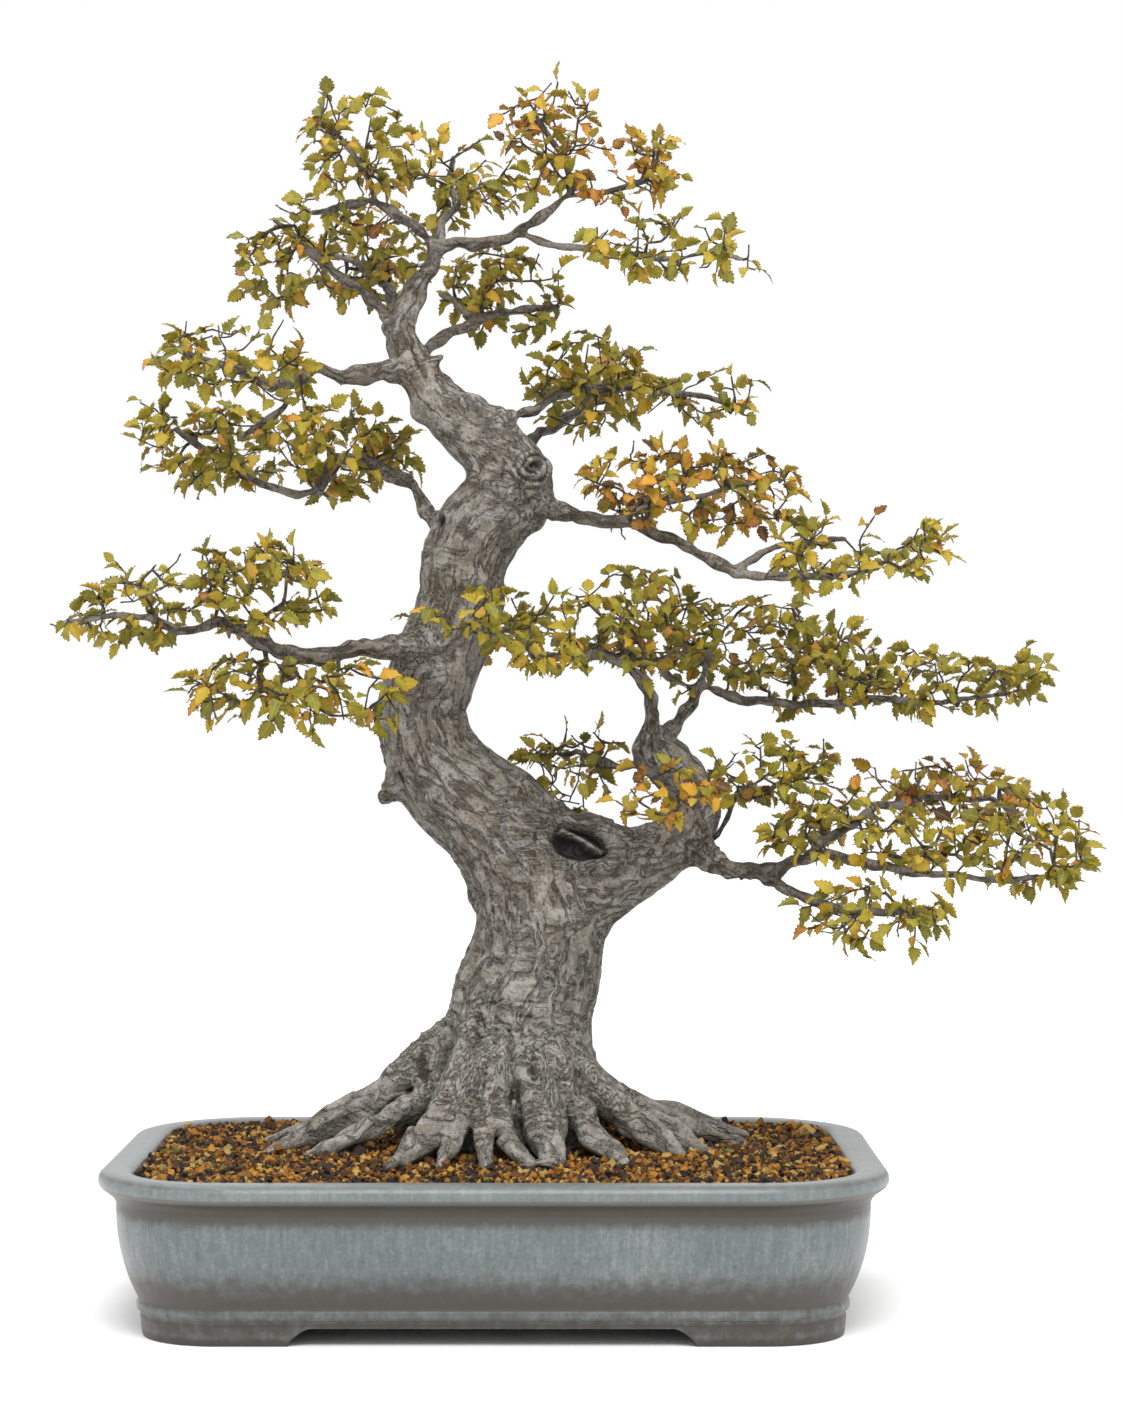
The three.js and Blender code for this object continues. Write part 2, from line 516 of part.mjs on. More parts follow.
// ---------------------------------------------------------------- foliage
// Each cloud is one or more puffs, as a centre and the half sizes along X, Y and Z.
const CLOUDS = {
  foliage_left_low: [
    [[-231, -62, 319], [30, 34, 17]], [[-195, -64, 334], [50, 50, 25]], [[-141, -60, 341], [50, 54, 27]],
  ],
  foliage_left_under: [[[-142, -82, 280], [40, 46, 23]], [[-95, -74, 277], [44, 46, 23]]],
  foliage_left_front: [[[-15, -80, 326], [30, 30, 18]]],
  foliage_left_mid: [
    [[-212, 75, 447], [27, 34, 16]], [[-167, 74, 430], [56, 64, 30]], [[-96, 62, 428], [50, 60, 28]],
  ],
  foliage_left_high: [
    [[-154, -66, 477], [50, 52, 23]], [[-122, -52, 445], [30, 36, 20]], [[-86, -28, 481], [30, 28, 12]],
  ],
  foliage_left_top: [[[-116, 54, 546], [50, 50, 29]], [[-76, 44, 557], [38, 44, 24]]],
  foliage_apex_left: [[[-83, -24, 606], [36, 44, 36]], [[-113, -46, 572], [28, 34, 15]]],
  foliage_apex_mid: [[[-24, 40, 594], [42, 44, 30]]],
  foliage_apex_right: [[[32, -28, 608], [31, 42, 38]], [[78, -50, 587], [38, 38, 24]]],
  foliage_right_top: [[[86, -54, 541], [42, 38, 20]], [[134, -60, 539], [34, 34, 18]]],
  foliage_upper_inner: [[[0, 60, 527], [46, 48, 27]]],
  foliage_right_high: [[[58, 50, 471], [43, 46, 31]], [[128, 62, 463], [42, 42, 18]]],
  foliage_right_mid: [[[90, -22, 401], [45, 60, 26]], [[140, -18, 399], [46, 58, 27]]],
  foliage_right_mid_tip: [[[193, -66, 360], [38, 46, 24]], [[236, -74, 363], [32, 40, 21]]],
  foliage_right_inner: [[[40, -46, 312], [42, 58, 25]], [[86, -30, 321], [45, 60, 33]]],
  foliage_right_outer: [[[150, 42, 310], [57, 62, 29]], [[203, 55, 295], [48, 60, 30]]],
  foliage_right_tip: [[[274, 58, 285], [42, 52, 25]], [[315, 62, 288], [33, 42, 21]]],
  foliage_crotch: [[[46, 34, 232], [35, 48, 27]]],
  foliage_low_inner: [[[168, -2, 230], [51, 50, 21]]],
  foliage_low_outer: [[[203, -30, 197], [46, 52, 23]], [[258, -30, 188], [46, 52, 21]]],
  foliage_low_tip: [[[322, -14, 187], [38, 56, 33]]],
  foliage_low_back: [[[268, 62, 218], [45, 52, 22]], [[313, 70, 212], [36, 44, 21]]],
  foliage_low_under: [[[219, -84, 148], [49, 48, 21]]],
  foliage_low_front: [[[100, -72, 220], [35, 36, 22]]],
  foliage_back_low: [[[-14, 126, 325], [52, 54, 23]]],
  foliage_back_high: [[[66, 138, 474], [41, 42, 25]]],
  foliage_back_top: [[[-94, 128, 550], [44, 42, 23]]],
};
const GOLD_CLOUDS = new Set([
  "foliage_right_mid", "foliage_low_back", "foliage_low_front", "foliage_apex_right",
]);

/** One cloud of leaves and fine twigs, grown by a clearance. */
function makeCloud(puffs, clearance = 0) {
  const balls = puffs.map(([centre, half]) => {
    const ball = new THREE.IcosahedronGeometry(1, 1);
    ball.scale(...half.map((size) => size * treeScale + clearance));
    const [x, y, z] = centre.map((place) => place * treeScale);
    ball.translate(x, y, SOIL_LINE + z);
    return solidOf(ball);
  });
  return joined(balls);
}

/** The largest of the bodies that a cut leaves: a stem that grazes a cloud can pare a chip off it. */
function mainBody(solid) {
  return solid.decompose().reduce((best, body) => (body.volume() > best.volume() ? body : best));
}

// ---------------------------------------------------------------- soil
/** The soil: it fills the pot and rises a little to the trunk. */
function makeSoil(cutters) {
  const rings = insideRings(SOIL_LINE, FIT_GAP);
  const edge = rings.at(-1);
  for (const [inward, rise] of [[0.12, 0.45], [0.4, 0.85], [0.75, 1]]) {
    rings.push(edge.map((point) =>
      new THREE.Vector3(point.x * (1 - inward), point.y * (1 - inward), SOIL_LINE + SOIL_MOUND * rise)));
  }
  const screenSpaces = drainHoles.map((x) => {
    const size = SCREEN_SIZE + 2 * FIT_GAP;
    return boxSolid([size, size, 2 * (SCREEN_THICKNESS + FIT_GAP)], [x, 0, SCREEN_BOTTOM]);
  });
  return mainBody(cutBy(solidOf(loft(rings)), [...screenSpaces, ...cutters]));
}

// ---------------------------------------------------------------- assembly
const bonsai = new THREE.Group();

function add(name, solid, material) {
  const mesh = new THREE.Mesh(geometryOf(solid), material);
  mesh.name = name;
  bonsai.add(mesh);
}

const sideNames = ["left", "right"];
const clipSpaces = drainHoles.map((x) => makeClip(x, FIT_GAP));
add("pot", makePot(), GLAZE);
add("soil", makeSoil([...clipSpaces, makeTrunk(FIT_GAP)]), SOIL_GRAIN);
drainHoles.forEach((x, i) => {
  add("drain_screen_" + sideNames[i], makeScreen(x), SCREEN_PLASTIC);
  add("screen_clip_" + sideNames[i], makeClip(x), CLIP_METAL);
});

// Each piece of wood is cut where it meets the wood it grows from, and leaves room for the next.
const woodSpaces = [makeTrunk(FIT_GAP)];
const channels = [...woodSpaces, makeRightTrunk(FIT_GAP)];
add("trunk", makeTrunk(), BARK);
add("right_trunk", mainBody(cutBy(makeRightTrunk(), woodSpaces)), BARK);
woodSpaces.push(makeRightTrunk(FIT_GAP));
for (const [name, stems] of Object.entries(LIMBS)) {
  add(name, mainBody(cutBy(makeLimb(stems), woodSpaces)), LIMB_BARK);
  woodSpaces.push(makeLimb(stems, FIT_GAP));
  channels.push(limbChannel(stems));
}

const cloudSpaces = [];
for (const [name, puffs] of Object.entries(CLOUDS)) {
  const cloud = cutBy(makeCloud(puffs), [...channels, ...cloudSpaces]);
  add(name, mainBody(cloud), GOLD_CLOUDS.has(name) ? LEAF_GOLD : LEAF_GREEN);
  cloudSpaces.push(makeCloud(puffs, FIT_GAP));
}

// The origin is the centre of the whole piece's outline on the surface it stands on.
const size = new THREE.Box3().setFromObject(bonsai);
bonsai.position.set(-(size.min.x + size.max.x) / 2, -(size.min.y + size.max.y) / 2, -size.min.z);

export default bonsai;
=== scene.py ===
"""A bonsai tree in a glazed pot: its looks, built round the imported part. Metres, +Z up."""

import heapq
import logging
import math
from dataclasses import dataclass, field
from enum import Enum
from typing import Iterable, Sequence

import bpy
import numpy as np
import openvdb
from bpy.types import ColorRamp, Material, Node, NodeSocket, Object
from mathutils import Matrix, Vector
from mathutils.bvhtree import BVHTree
from numpy import ndarray as Array
from numpy.random import Generator


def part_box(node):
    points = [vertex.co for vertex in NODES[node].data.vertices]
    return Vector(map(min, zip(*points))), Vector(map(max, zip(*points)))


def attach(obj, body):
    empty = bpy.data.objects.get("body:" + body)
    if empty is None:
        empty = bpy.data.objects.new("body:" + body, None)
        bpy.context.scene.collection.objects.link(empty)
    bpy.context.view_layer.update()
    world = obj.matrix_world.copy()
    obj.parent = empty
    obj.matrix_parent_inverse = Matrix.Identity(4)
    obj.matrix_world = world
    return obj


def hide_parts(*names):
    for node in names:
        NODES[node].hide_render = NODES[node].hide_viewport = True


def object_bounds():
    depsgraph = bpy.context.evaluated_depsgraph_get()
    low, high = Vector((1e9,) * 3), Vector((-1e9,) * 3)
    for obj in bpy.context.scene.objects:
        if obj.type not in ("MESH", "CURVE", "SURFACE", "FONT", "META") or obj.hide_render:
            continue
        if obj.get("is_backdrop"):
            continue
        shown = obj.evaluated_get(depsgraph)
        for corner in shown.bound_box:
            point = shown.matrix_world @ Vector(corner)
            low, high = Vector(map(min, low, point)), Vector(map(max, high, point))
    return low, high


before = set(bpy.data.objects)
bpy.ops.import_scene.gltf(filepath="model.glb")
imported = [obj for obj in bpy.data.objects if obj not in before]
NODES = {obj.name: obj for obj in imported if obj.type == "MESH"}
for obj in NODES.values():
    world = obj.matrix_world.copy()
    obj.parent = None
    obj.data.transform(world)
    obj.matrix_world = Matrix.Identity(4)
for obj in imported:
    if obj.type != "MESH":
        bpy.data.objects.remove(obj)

LOG = logging.getLogger("bonsai")
MM = 0.001
ODD_WAY = (0.31, 0.22, 0.92)
CAD_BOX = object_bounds()
STUDIO_LIGHT = 1.55


# ---------------------------------------------------------------- numbers
def smooth_step(low: float, high: float, value: Array) -> Array:
    """A share that rises smoothly from 0 at low to 1 at high."""
    share = np.clip((value - low) / (high - low), 0, 1)
    return share * share * (3 - 2 * share)


def bell(value: Array, middle: float, width: float) -> Array:
    """A share that is 1 where a value is at the middle, and falls away on both sides."""
    return np.exp(-(((value - middle) / width) ** 2))


def unit(vectors: Array) -> Array:
    """The vectors at length 1, along the last axis."""
    return vectors / np.maximum(np.linalg.norm(vectors, axis=-1, keepdims=True), 1e-12)


def tint(red: int, green: int, blue: int) -> tuple[float, float, float, float]:
    """The linear colour that looks like a display colour of 0 to 255 in the studio's light."""
    parts = (part / 255 for part in (red, green, blue))
    linear = (p / 12.92 if p <= 0.04045 else ((p + 0.055) / 1.055) ** 2.4 for p in parts)
    return (*(part / STUDIO_LIGHT for part in linear), 1.0)


def corner_weights(part: Array) -> Iterable[tuple[tuple[int, ...], Array]]:
    """Each corner of a cell, with its share in the value at each place within the cell."""
    for corner in np.ndindex(2, 2, 2):
        yield corner, np.prod(np.where(corner, part, 1 - part), axis=1)


@dataclass(frozen=True)
class Grain:
    """Smooth random values through space, between -1 and 1.

    Attributes:
        pitch: The size of one lump.
        seed: Which of the many patterns this is.
    """

    pitch: float
    seed: int

    def at(self, places: Array) -> Array:
        """The value at each place.

        Args:
            places: Points, one to a row.

        Returns:
            One value to a point.
        """
        scaled = places / self.pitch
        cell = np.floor(scaled)
        part = scaled - cell
        part = part * part * (3 - 2 * part)
        cell = cell.astype(np.int64)
        total = np.zeros(len(places))
        for corner, weight in corner_weights(part):
            total += weight * self._lattice(cell + corner)
        return total

    def _lattice(self, cell: Array) -> Array:
        """The fixed random value of each lattice point."""
        mixed = cell @ np.array([73856093, 19349663, 83492791]) + self.seed * 2654435761
        mixed = (mixed ^ (mixed >> 13)) * 1274126177
        mixed = mixed ^ (mixed >> 16)
        return (mixed & 0xFFFF) / 32767.5 - 1


# ---------------------------------------------------------------- meshes
def make_piece(name: str, points: Array, faces: Sequence[Array]) -> Object:
    """A mesh object in the part's frame.

    Args:
        name: The piece's name.
        points: Its vertices, one to a row.
        faces: Blocks of faces; each block's rows have one number of corners.

    Returns:
        The new object, smooth shaded.
    """
    mesh = bpy.data.meshes.new(name)
    corners = np.concatenate([block.ravel() for block in faces]).astype(np.int32)
    counts = np.concatenate([np.full(len(block), block.shape[1]) for block in faces])
    starts = np.concatenate([[0], np.cumsum(counts)[:-1]]).astype(np.int32)
    mesh.vertices.add(len(points))
    mesh.vertices.foreach_set("co", points.astype(np.float32).ravel())
    mesh.loops.add(len(corners))
    mesh.loops.foreach_set("vertex_index", corners)
    mesh.polygons.add(len(starts))
    mesh.polygons.foreach_set("loop_start", starts)
    mesh.polygons.foreach_set("use_smooth", np.ones(len(starts), bool))
    mesh.update(calc_edges=True)
    mesh.validate()
    piece = bpy.data.objects.new(name, mesh)
    bpy.context.scene.collection.objects.link(piece)
    return piece


def store(piece: Object, name: str, values: Array) -> None:
    """Keeps a value or a vector for each vertex, under the name that a finish reads."""
    kind, key = ("FLOAT", "value") if values.ndim == 1 else ("FLOAT_VECTOR", "vector")
    layer = piece.data.attributes.new(name, kind, "POINT")
    layer.data.foreach_set(key, values.astype(np.float32).ravel())


def place(piece: Object, finish: Material, slot: str, *stands_for: str) -> None:
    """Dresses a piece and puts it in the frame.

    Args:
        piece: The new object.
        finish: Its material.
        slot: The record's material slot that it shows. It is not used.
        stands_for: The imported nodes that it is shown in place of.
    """
    piece.data.materials.clear()
    piece.data.materials.append(finish)
    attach(piece, "root")
    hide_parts(*stands_for)
    LOG.info("%s: %d faces for %s", piece.name, len(piece.data.polygons), ", ".join(stands_for))


def mesh_arrays(node: Object) -> tuple[Array, Array]:
    """A node's vertices and triangles.

    Args:
        node: The object.

    Returns:
        Its points and the three corners of each triangle.
    """
    mesh = node.data
    points = np.empty(len(mesh.vertices) * 3, np.float32)
    mesh.vertices.foreach_get("co", points)
    mesh.calc_loop_triangles()
    corners = np.empty(len(mesh.loop_triangles) * 3, np.int32)
    mesh.loop_triangles.foreach_get("vertices", corners)
    return points.reshape(-1, 3), corners.reshape(-1, 3)


class Solid:
    """A closed mesh that can be asked what lies inside it."""

    def __init__(self, points: Array, faces: Array) -> None:
        """Args: points and faces of the mesh."""
        self.points = points.astype(float)
        self.faces = faces
        self.tree = BVHTree.FromPolygons(points.tolist(), faces.tolist())

    @classmethod
    def of(cls, node: Object) -> "Solid":
        """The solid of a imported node."""
        return cls(*mesh_arrays(node))

    def depth(self, point: Sequence[float]) -> float:
        """How far inside a point lies; less than 0 is outside."""
        nearest, normal, _, distance = self.tree.find_nearest(Vector(point))
        return math.copysign(distance, (nearest - Vector(point)).dot(normal))

    def volume(self) -> float:
        """What the mesh holds."""
        a, b, c = (self.points[self.faces[:, k]] for k in range(3))
        return abs(float(np.einsum("ij,ij->i", a, np.cross(b, c)).sum()) / 6)

    def middles(self) -> tuple[Array, Array]:
        """Points along the middle of a stem, and its radius at each.

        Returns:
            The points and the radii.
        """
        corners = self.points[self.faces[:, :3]]
        centres = corners.mean(axis=1)
        normals = unit(np.cross(corners[:, 1] - corners[:, 0], corners[:, 2] - corners[:, 0]))
        found = []
        for centre, normal in zip(centres, normals):
            inward = Vector(-normal)
            start = Vector(centre) + inward * 0.05 * MM
            _, _, _, distance = self.tree.ray_cast(start, inward)
            if distance:
                found.append((*(centre - normal * distance / 2), distance / 2))
        table = np.array(found)
        return table[:, :3], table[:, 3]


def edges_of(faces: Array) -> Array:
    """The two ends of each edge of a block of faces, each edge once."""
    pairs = np.stack([faces, np.roll(faces, -1, axis=1)], axis=-1).reshape(-1, 2)
    pairs = np.sort(pairs, axis=1).astype(np.int64)
    keys = np.unique(pairs[:, 0] * (pairs.max() + 1) + pairs[:, 1])
    return np.stack([keys // (pairs.max() + 1), keys % (pairs.max() + 1)], axis=1)


def normals_of(points: Array, quads: Array) -> Array:
    """The outward normal at each vertex of a mesh of quads."""
    across = np.cross(points[quads[:, 2]] - points[quads[:, 0]], points[quads[:, 3]] - points[quads[:, 1]])
    total = np.zeros_like(points)
    for corner in range(4):
        for axis in range(3):
            total[:, axis] += np.bincount(quads[:, corner], across[:, axis], len(points))
    return unit(total)


class Neighbours:
    """Averages over each vertex's neighbours in a mesh."""

    def __init__(self, edges: Array, count: int) -> None:
        """Args: the mesh's edges and its number of vertices."""
        self.start = np.concatenate([edges[:, 0], edges[:, 1]])
        self.end = np.concatenate([edges[:, 1], edges[:, 0]])
        self.count = count
        self.share = 1 / np.maximum(np.bincount(self.start, minlength=count), 1)

    def mean(self, values: Array) -> Array:
        """The mean of the neighbours' values, one number or vector to a vertex."""
        if values.ndim == 1:
            return np.bincount(self.start, values[self.end], self.count) * self.share
        return np.stack([self.mean(column) for column in values.T], axis=1)


def bands(first: int, count: int, rings: int) -> Array:
    """The faces between rings of points that follow each other.

    Args:
        first: The number of the first ring's first point.
        count: How many points a ring has.
        rings: How many rings there are.

    Returns:
        The faces' corners.
    """
    here = np.arange(count)
    after = (here + 1) % count
    band = np.stack([here, after, count + after, count + here], 1)
    return np.concatenate([band + first + step * count for step in range(rings - 1)])


def loft(name: str, rings: list[Array]) -> Object:
    """A closed skin through rings that hold as many points each, capped at both ends."""
    return make_piece(name, np.concatenate(rings), loft_faces(rings))


def loft_faces(rings: list[Array]) -> list[Array]:
    """The bands between rings of as many points each, and the cap at each end."""
    count = len(rings[0])
    here = np.arange(count)
    caps = [here[::-1][None], (here + (len(rings) - 1) * count)[None]]
    return [bands(0, count, len(rings)), *caps]


class Tubes:
    """Many tapering stems, gathered into one mesh."""

    def __init__(self, sides: int) -> None:
        """Args: how many sides each stem has."""
        self.sides = sides
        self.points: list[Array] = []
        self.quads: list[Array] = []
        self.triangles: list[Array] = []
        self.count = 0

    def add(self, route: Array, radii: Array) -> None:
        """Adds one stem with pointed ends.

        Args:
            route: The points along its middle.
            radii: Its radius at each point.
        """
        ahead = unit(np.gradient(route, axis=0))
        side = np.cross(ahead[0], ODD_WAY)
        rings = []
        turns = np.arange(self.sides) * 2 * math.pi / self.sides
        for centre, heading, radius in zip(route, ahead, radii):
            side = unit(side - heading * side.dot(heading))
            other = np.cross(heading, side)
            ring = np.cos(turns)[:, None] * side + np.sin(turns)[:, None] * other
            rings.append(centre + ring * radius)
        caps = [route[0] - ahead[0] * radii[0] * 0.6, route[-1] + ahead[-1] * radii[-1] * 0.8]
        base, steps, n = self.count, len(route), self.sides
        self.points.append(np.concatenate([*rings, np.array(caps)]))
        self.count += steps * n + 2
        here = np.arange(n)
        after = (here + 1) % n
        self.quads.append(bands(base, n, steps))
        first, last = base + steps * n, base + steps * n + 1
        top = base + (steps - 1) * n
        self.triangles.append(np.stack([np.full(n, first), base + after, base + here], 1))
        self.triangles.append(np.stack([np.full(n, last), top + here, top + after], 1))

    def piece(self, name: str) -> Object:
        """All the stems as one object."""
        blocks = [np.concatenate(self.quads), np.concatenate(self.triangles)]
        return make_piece(name, np.concatenate(self.points), blocks)


# ---------------------------------------------------------------- shader language
class Number:
    """A number that varies over a surface, which Python's arithmetic adds shader nodes to."""

    def __init__(self, nodes: "Nodes", socket: NodeSocket) -> None:
        """Args: the node tree and the socket that gives the number."""
        self.nodes = nodes
        self.socket = socket

    def _with(self, operation: str, *values: object) -> "Number":
        """One Math node on these values."""
        inputs = dict(enumerate(values))
        return self.nodes.number("ShaderNodeMath", {"operation": operation}, inputs)

    def __add__(self, other: object) -> "Number":
        """This number and another."""
        return self._with("ADD", self, other)

    __radd__ = __add__

    def __sub__(self, other: object) -> "Number":
        """This number less another."""
        return self._with("SUBTRACT", self, other)

    def __rsub__(self, other: object) -> "Number":
        """Another number less this one."""
        return self._with("SUBTRACT", other, self)

    def __mul__(self, other: object) -> "Number":
        """This number times another."""
        return self._with("MULTIPLY", self, other)

    __rmul__ = __mul__

    def __pow__(self, power: float) -> "Number":
        """This number to a power."""
        return self._with("POWER", self, power)

    def clamped(self) -> "Number":
        """This number held between 0 and 1."""
        settings = {"operation": "ADD", "use_clamp": True}
        return self.nodes.number("ShaderNodeMath", settings, {0: self, 1: 0.0})

    def size(self) -> "Number":
        """This number without its sign."""
        return self._with("ABSOLUTE", self)

    def ridge(self) -> "Number":
        """A number that is 1 where this one is one half, and falls away on both sides."""
        return 1 - (self * 2 - 1).size()

    def fraction(self) -> "Number":
        """What this number has past the point."""
        return self._with("FRACT", self)

    def between(self, low: float, high: float) -> "Number":
        """A share that rises smoothly from 0 at low to 1 at high."""
        settings = {"interpolation_type": "SMOOTHSTEP"}
        inputs = {"Value": self, "From Min": low, "From Max": high}
        return self.nodes.number("ShaderNodeMapRange", settings, inputs)


class Nodes:
    """A material's nodes."""

    def __init__(self, name: str) -> None:
        """Args: the material's name."""
        self.material = bpy.data.materials.new(name)
        self.material.use_nodes = True
        self.tree = self.material.node_tree
        self.tree.nodes.clear()
        self.places = self.add("ShaderNodeTexCoord").outputs["Object"]

    def add(self, kind: str, settings: dict | None = None, inputs: dict | None = None) -> Node:
        """Adds one node.

        Args:
            kind: The node's type.
            settings: Its own settings; "stops" are a ramp's places and colours.
            inputs: The values or links of its sockets.

        Returns:
            The node.
        """
        node = self.tree.nodes.new(kind)
        for key, value in (settings or {}).items():
            if key == "stops":
                self._set_stops(node.color_ramp, value)
            else:
                setattr(node, key, value)
        for key, value in (inputs or {}).items():
            source = value.socket if isinstance(value, Number) else value
            if isinstance(source, NodeSocket):
                self.tree.links.new(source, node.inputs[key])
            else:
                node.inputs[key].default_value = source
        return node

    @staticmethod
    def _set_stops(ramp: ColorRamp, stops: Sequence[tuple]) -> None:
        """Gives a ramp its stops."""
        while len(ramp.elements) < len(stops):
            ramp.elements.new(1.0)
        for element, (where, colour) in zip(ramp.elements, stops):
            element.position = where
            element.color = colour

    def number(self, kind: str, settings: dict | None, inputs: dict, output: int = 0) -> Number:
        """Adds one node and takes a number from it."""
        return Number(self, self.add(kind, settings, inputs).outputs[output])

    def kept(self, name: str) -> Number:
        """A number that the mesh keeps for each vertex."""
        return Number(self, self.add("ShaderNodeAttribute", {"attribute_name": name}).outputs["Fac"])

    def height(self) -> Number:
        """The height above the ground."""
        return self.number("ShaderNodeSeparateXYZ", None, {0: self.places}, 2)

    def clouds(self, size: float, detail: float = 3.0, stretch: tuple = (1, 1, 1),
               rough: float = 0.5) -> Number:
        """Soft blotches.

        Args:
            size: How large one blotch is.
            detail: How many finer layers it holds.
            stretch: How much the pattern is drawn out along X, Y and Z.
            rough: How strong the finer layers are.

        Returns:
            A number about 0.5, from 0 to 1.
        """
        squeeze = tuple(1 / (size * part) for part in stretch)
        settings = {"operation": "MULTIPLY"}
        scaled = self.add("ShaderNodeVectorMath", settings, {0: self.places, 1: squeeze})
        inputs = {"Vector": scaled.outputs[0], "Scale": 1.0, "Detail": detail, "Roughness": rough}
        return self.number("ShaderNodeTexNoise", None, inputs)

    def grown(self, size: float, stretch: float, detail: float = 2.5) -> Number:
        """Soft blotches drawn out along the wood's growth.

        Args:
            size: How wide one blotch is.
            stretch: How many times as long as wide it is.
            detail: How many finer layers it holds.

        Returns:
            A number about 0.5, from 0 to 1.
        """
        around = self.add("ShaderNodeAttribute", {"attribute_name": "around"}).outputs["Vector"]
        settings = {"operation": "SCALE"}
        scaled = self.add("ShaderNodeVectorMath", settings, {0: around, "Scale": 1 / size})
        inputs = {"Vector": scaled.outputs[0], "W": self.kept("along") * (1 / (size * stretch)),
                  "Scale": 1.0, "Detail": detail, "Roughness": 0.6}
        return self.number("ShaderNodeTexNoise", {"noise_dimensions": "4D"}, inputs)

    def cells(self, size: float) -> Number:
        """The distance to scattered points that lie about one size apart."""
        inputs = {"Vector": self.places, "Scale": 1 / size}
        return self.number("ShaderNodeTexVoronoi", None, inputs)

    def ramp(self, share: Number, stops: Sequence[tuple]) -> NodeSocket:
        """A colour that changes with a share."""
        return self.add("ShaderNodeValToRGB", {"stops": stops}, {0: share}).outputs[0]

    def mix(self, share: object, under: object, over: object) -> NodeSocket:
        """A colour laid over another, as much as a share says."""
        settings = {"data_type": "RGBA", "clamp_factor": True}
        return self.add("ShaderNodeMix", settings, {0: share, 6: under, 7: over}).outputs[2]

    def bump(self, height: Number, depth: float, below: object = None) -> NodeSocket:
        """The normal of a relief that is depth deep where it is 1, over another relief's normal."""
        inputs = {"Height": height, "Distance": depth, "Strength": 1.0}
        if below is not None:
            inputs["Normal"] = below
        return self.add("ShaderNodeBump", None, inputs).outputs[0]

    def surface(self, inputs: dict) -> Material:
        """Closes the material with a surface of these values and links."""
        shader = self.add("ShaderNodeBsdfPrincipled", None, inputs)
        self.add("ShaderNodeOutputMaterial", None, {"Surface": shader.outputs[0]})
        return self.material


# ---------------------------------------------------------------- finishes
@dataclass(frozen=True)
class Glaze:
    """A satin grey-blue stoneware glaze that breaks to brown where it runs thin; low on the wall the brown is
    partly painted shade.
    """

    pale: tuple = tint(146, 152, 151)
    body: tuple = tint(108, 118, 118)
    deep: tuple = tint(80, 91, 94)
    # The brown of thin glaze, which low on the wall also serves as painted shade.
    thin: tuple = tint(60, 47, 32)
    iron: tuple = tint(52, 45, 38)

    def material(self) -> Material:
        """The glaze as a material."""
        nodes = Nodes("glaze")
        broad = nodes.clouds(60 * MM, 3)
        runs = nodes.clouds(3.2 * MM, 4, (1, 1, 7), 0.6)
        mottle = nodes.clouds(2.2 * MM, 3, rough=0.65)
        tone = (broad * 0.35 + runs * 0.45 + mottle * 0.4 - 0.1).clamped()
        colour = nodes.ramp(tone, [(0.32, self.deep), (0.5, self.body), (0.68, self.pale)])
        # How far the glaze turns brown: its own break where it runs thin, and painted shade low on the wall.
        patchy_thin_and_shade = (nodes.kept("thin_glaze_and_shade") + (nodes.clouds(7 * MM, 5) - 0.5) * 0.8).between(0.05, 0.82)
        colour = nodes.mix(patchy_thin_and_shade * 0.92, colour, self.thin)
        specks = (1 - nodes.cells(5.5 * MM).between(0.06, 0.15)) * nodes.clouds(14 * MM).between(0.45, 0.6)
        colour = nodes.mix(specks * 0.6, colour, self.iron)
        bright = nodes.kept("pooled_glaze") * 0.6
        colour = nodes.mix(bright, colour, self.pale)
        roughness = 0.3 + mottle * 0.2 + patchy_thin_and_shade * 0.12
        waves = nodes.bump(nodes.clouds(18 * MM, 2), 0.5 * MM)
        normal = nodes.bump(mottle * 0.6 + runs * 0.4, 0.12 * MM, waves)
        return nodes.surface({
            "Base Color": colour, "Roughness": roughness, "Normal": normal, "Coat Weight": 0.25,
            "Coat Roughness": 0.18, "IOR": 1.5,
        })


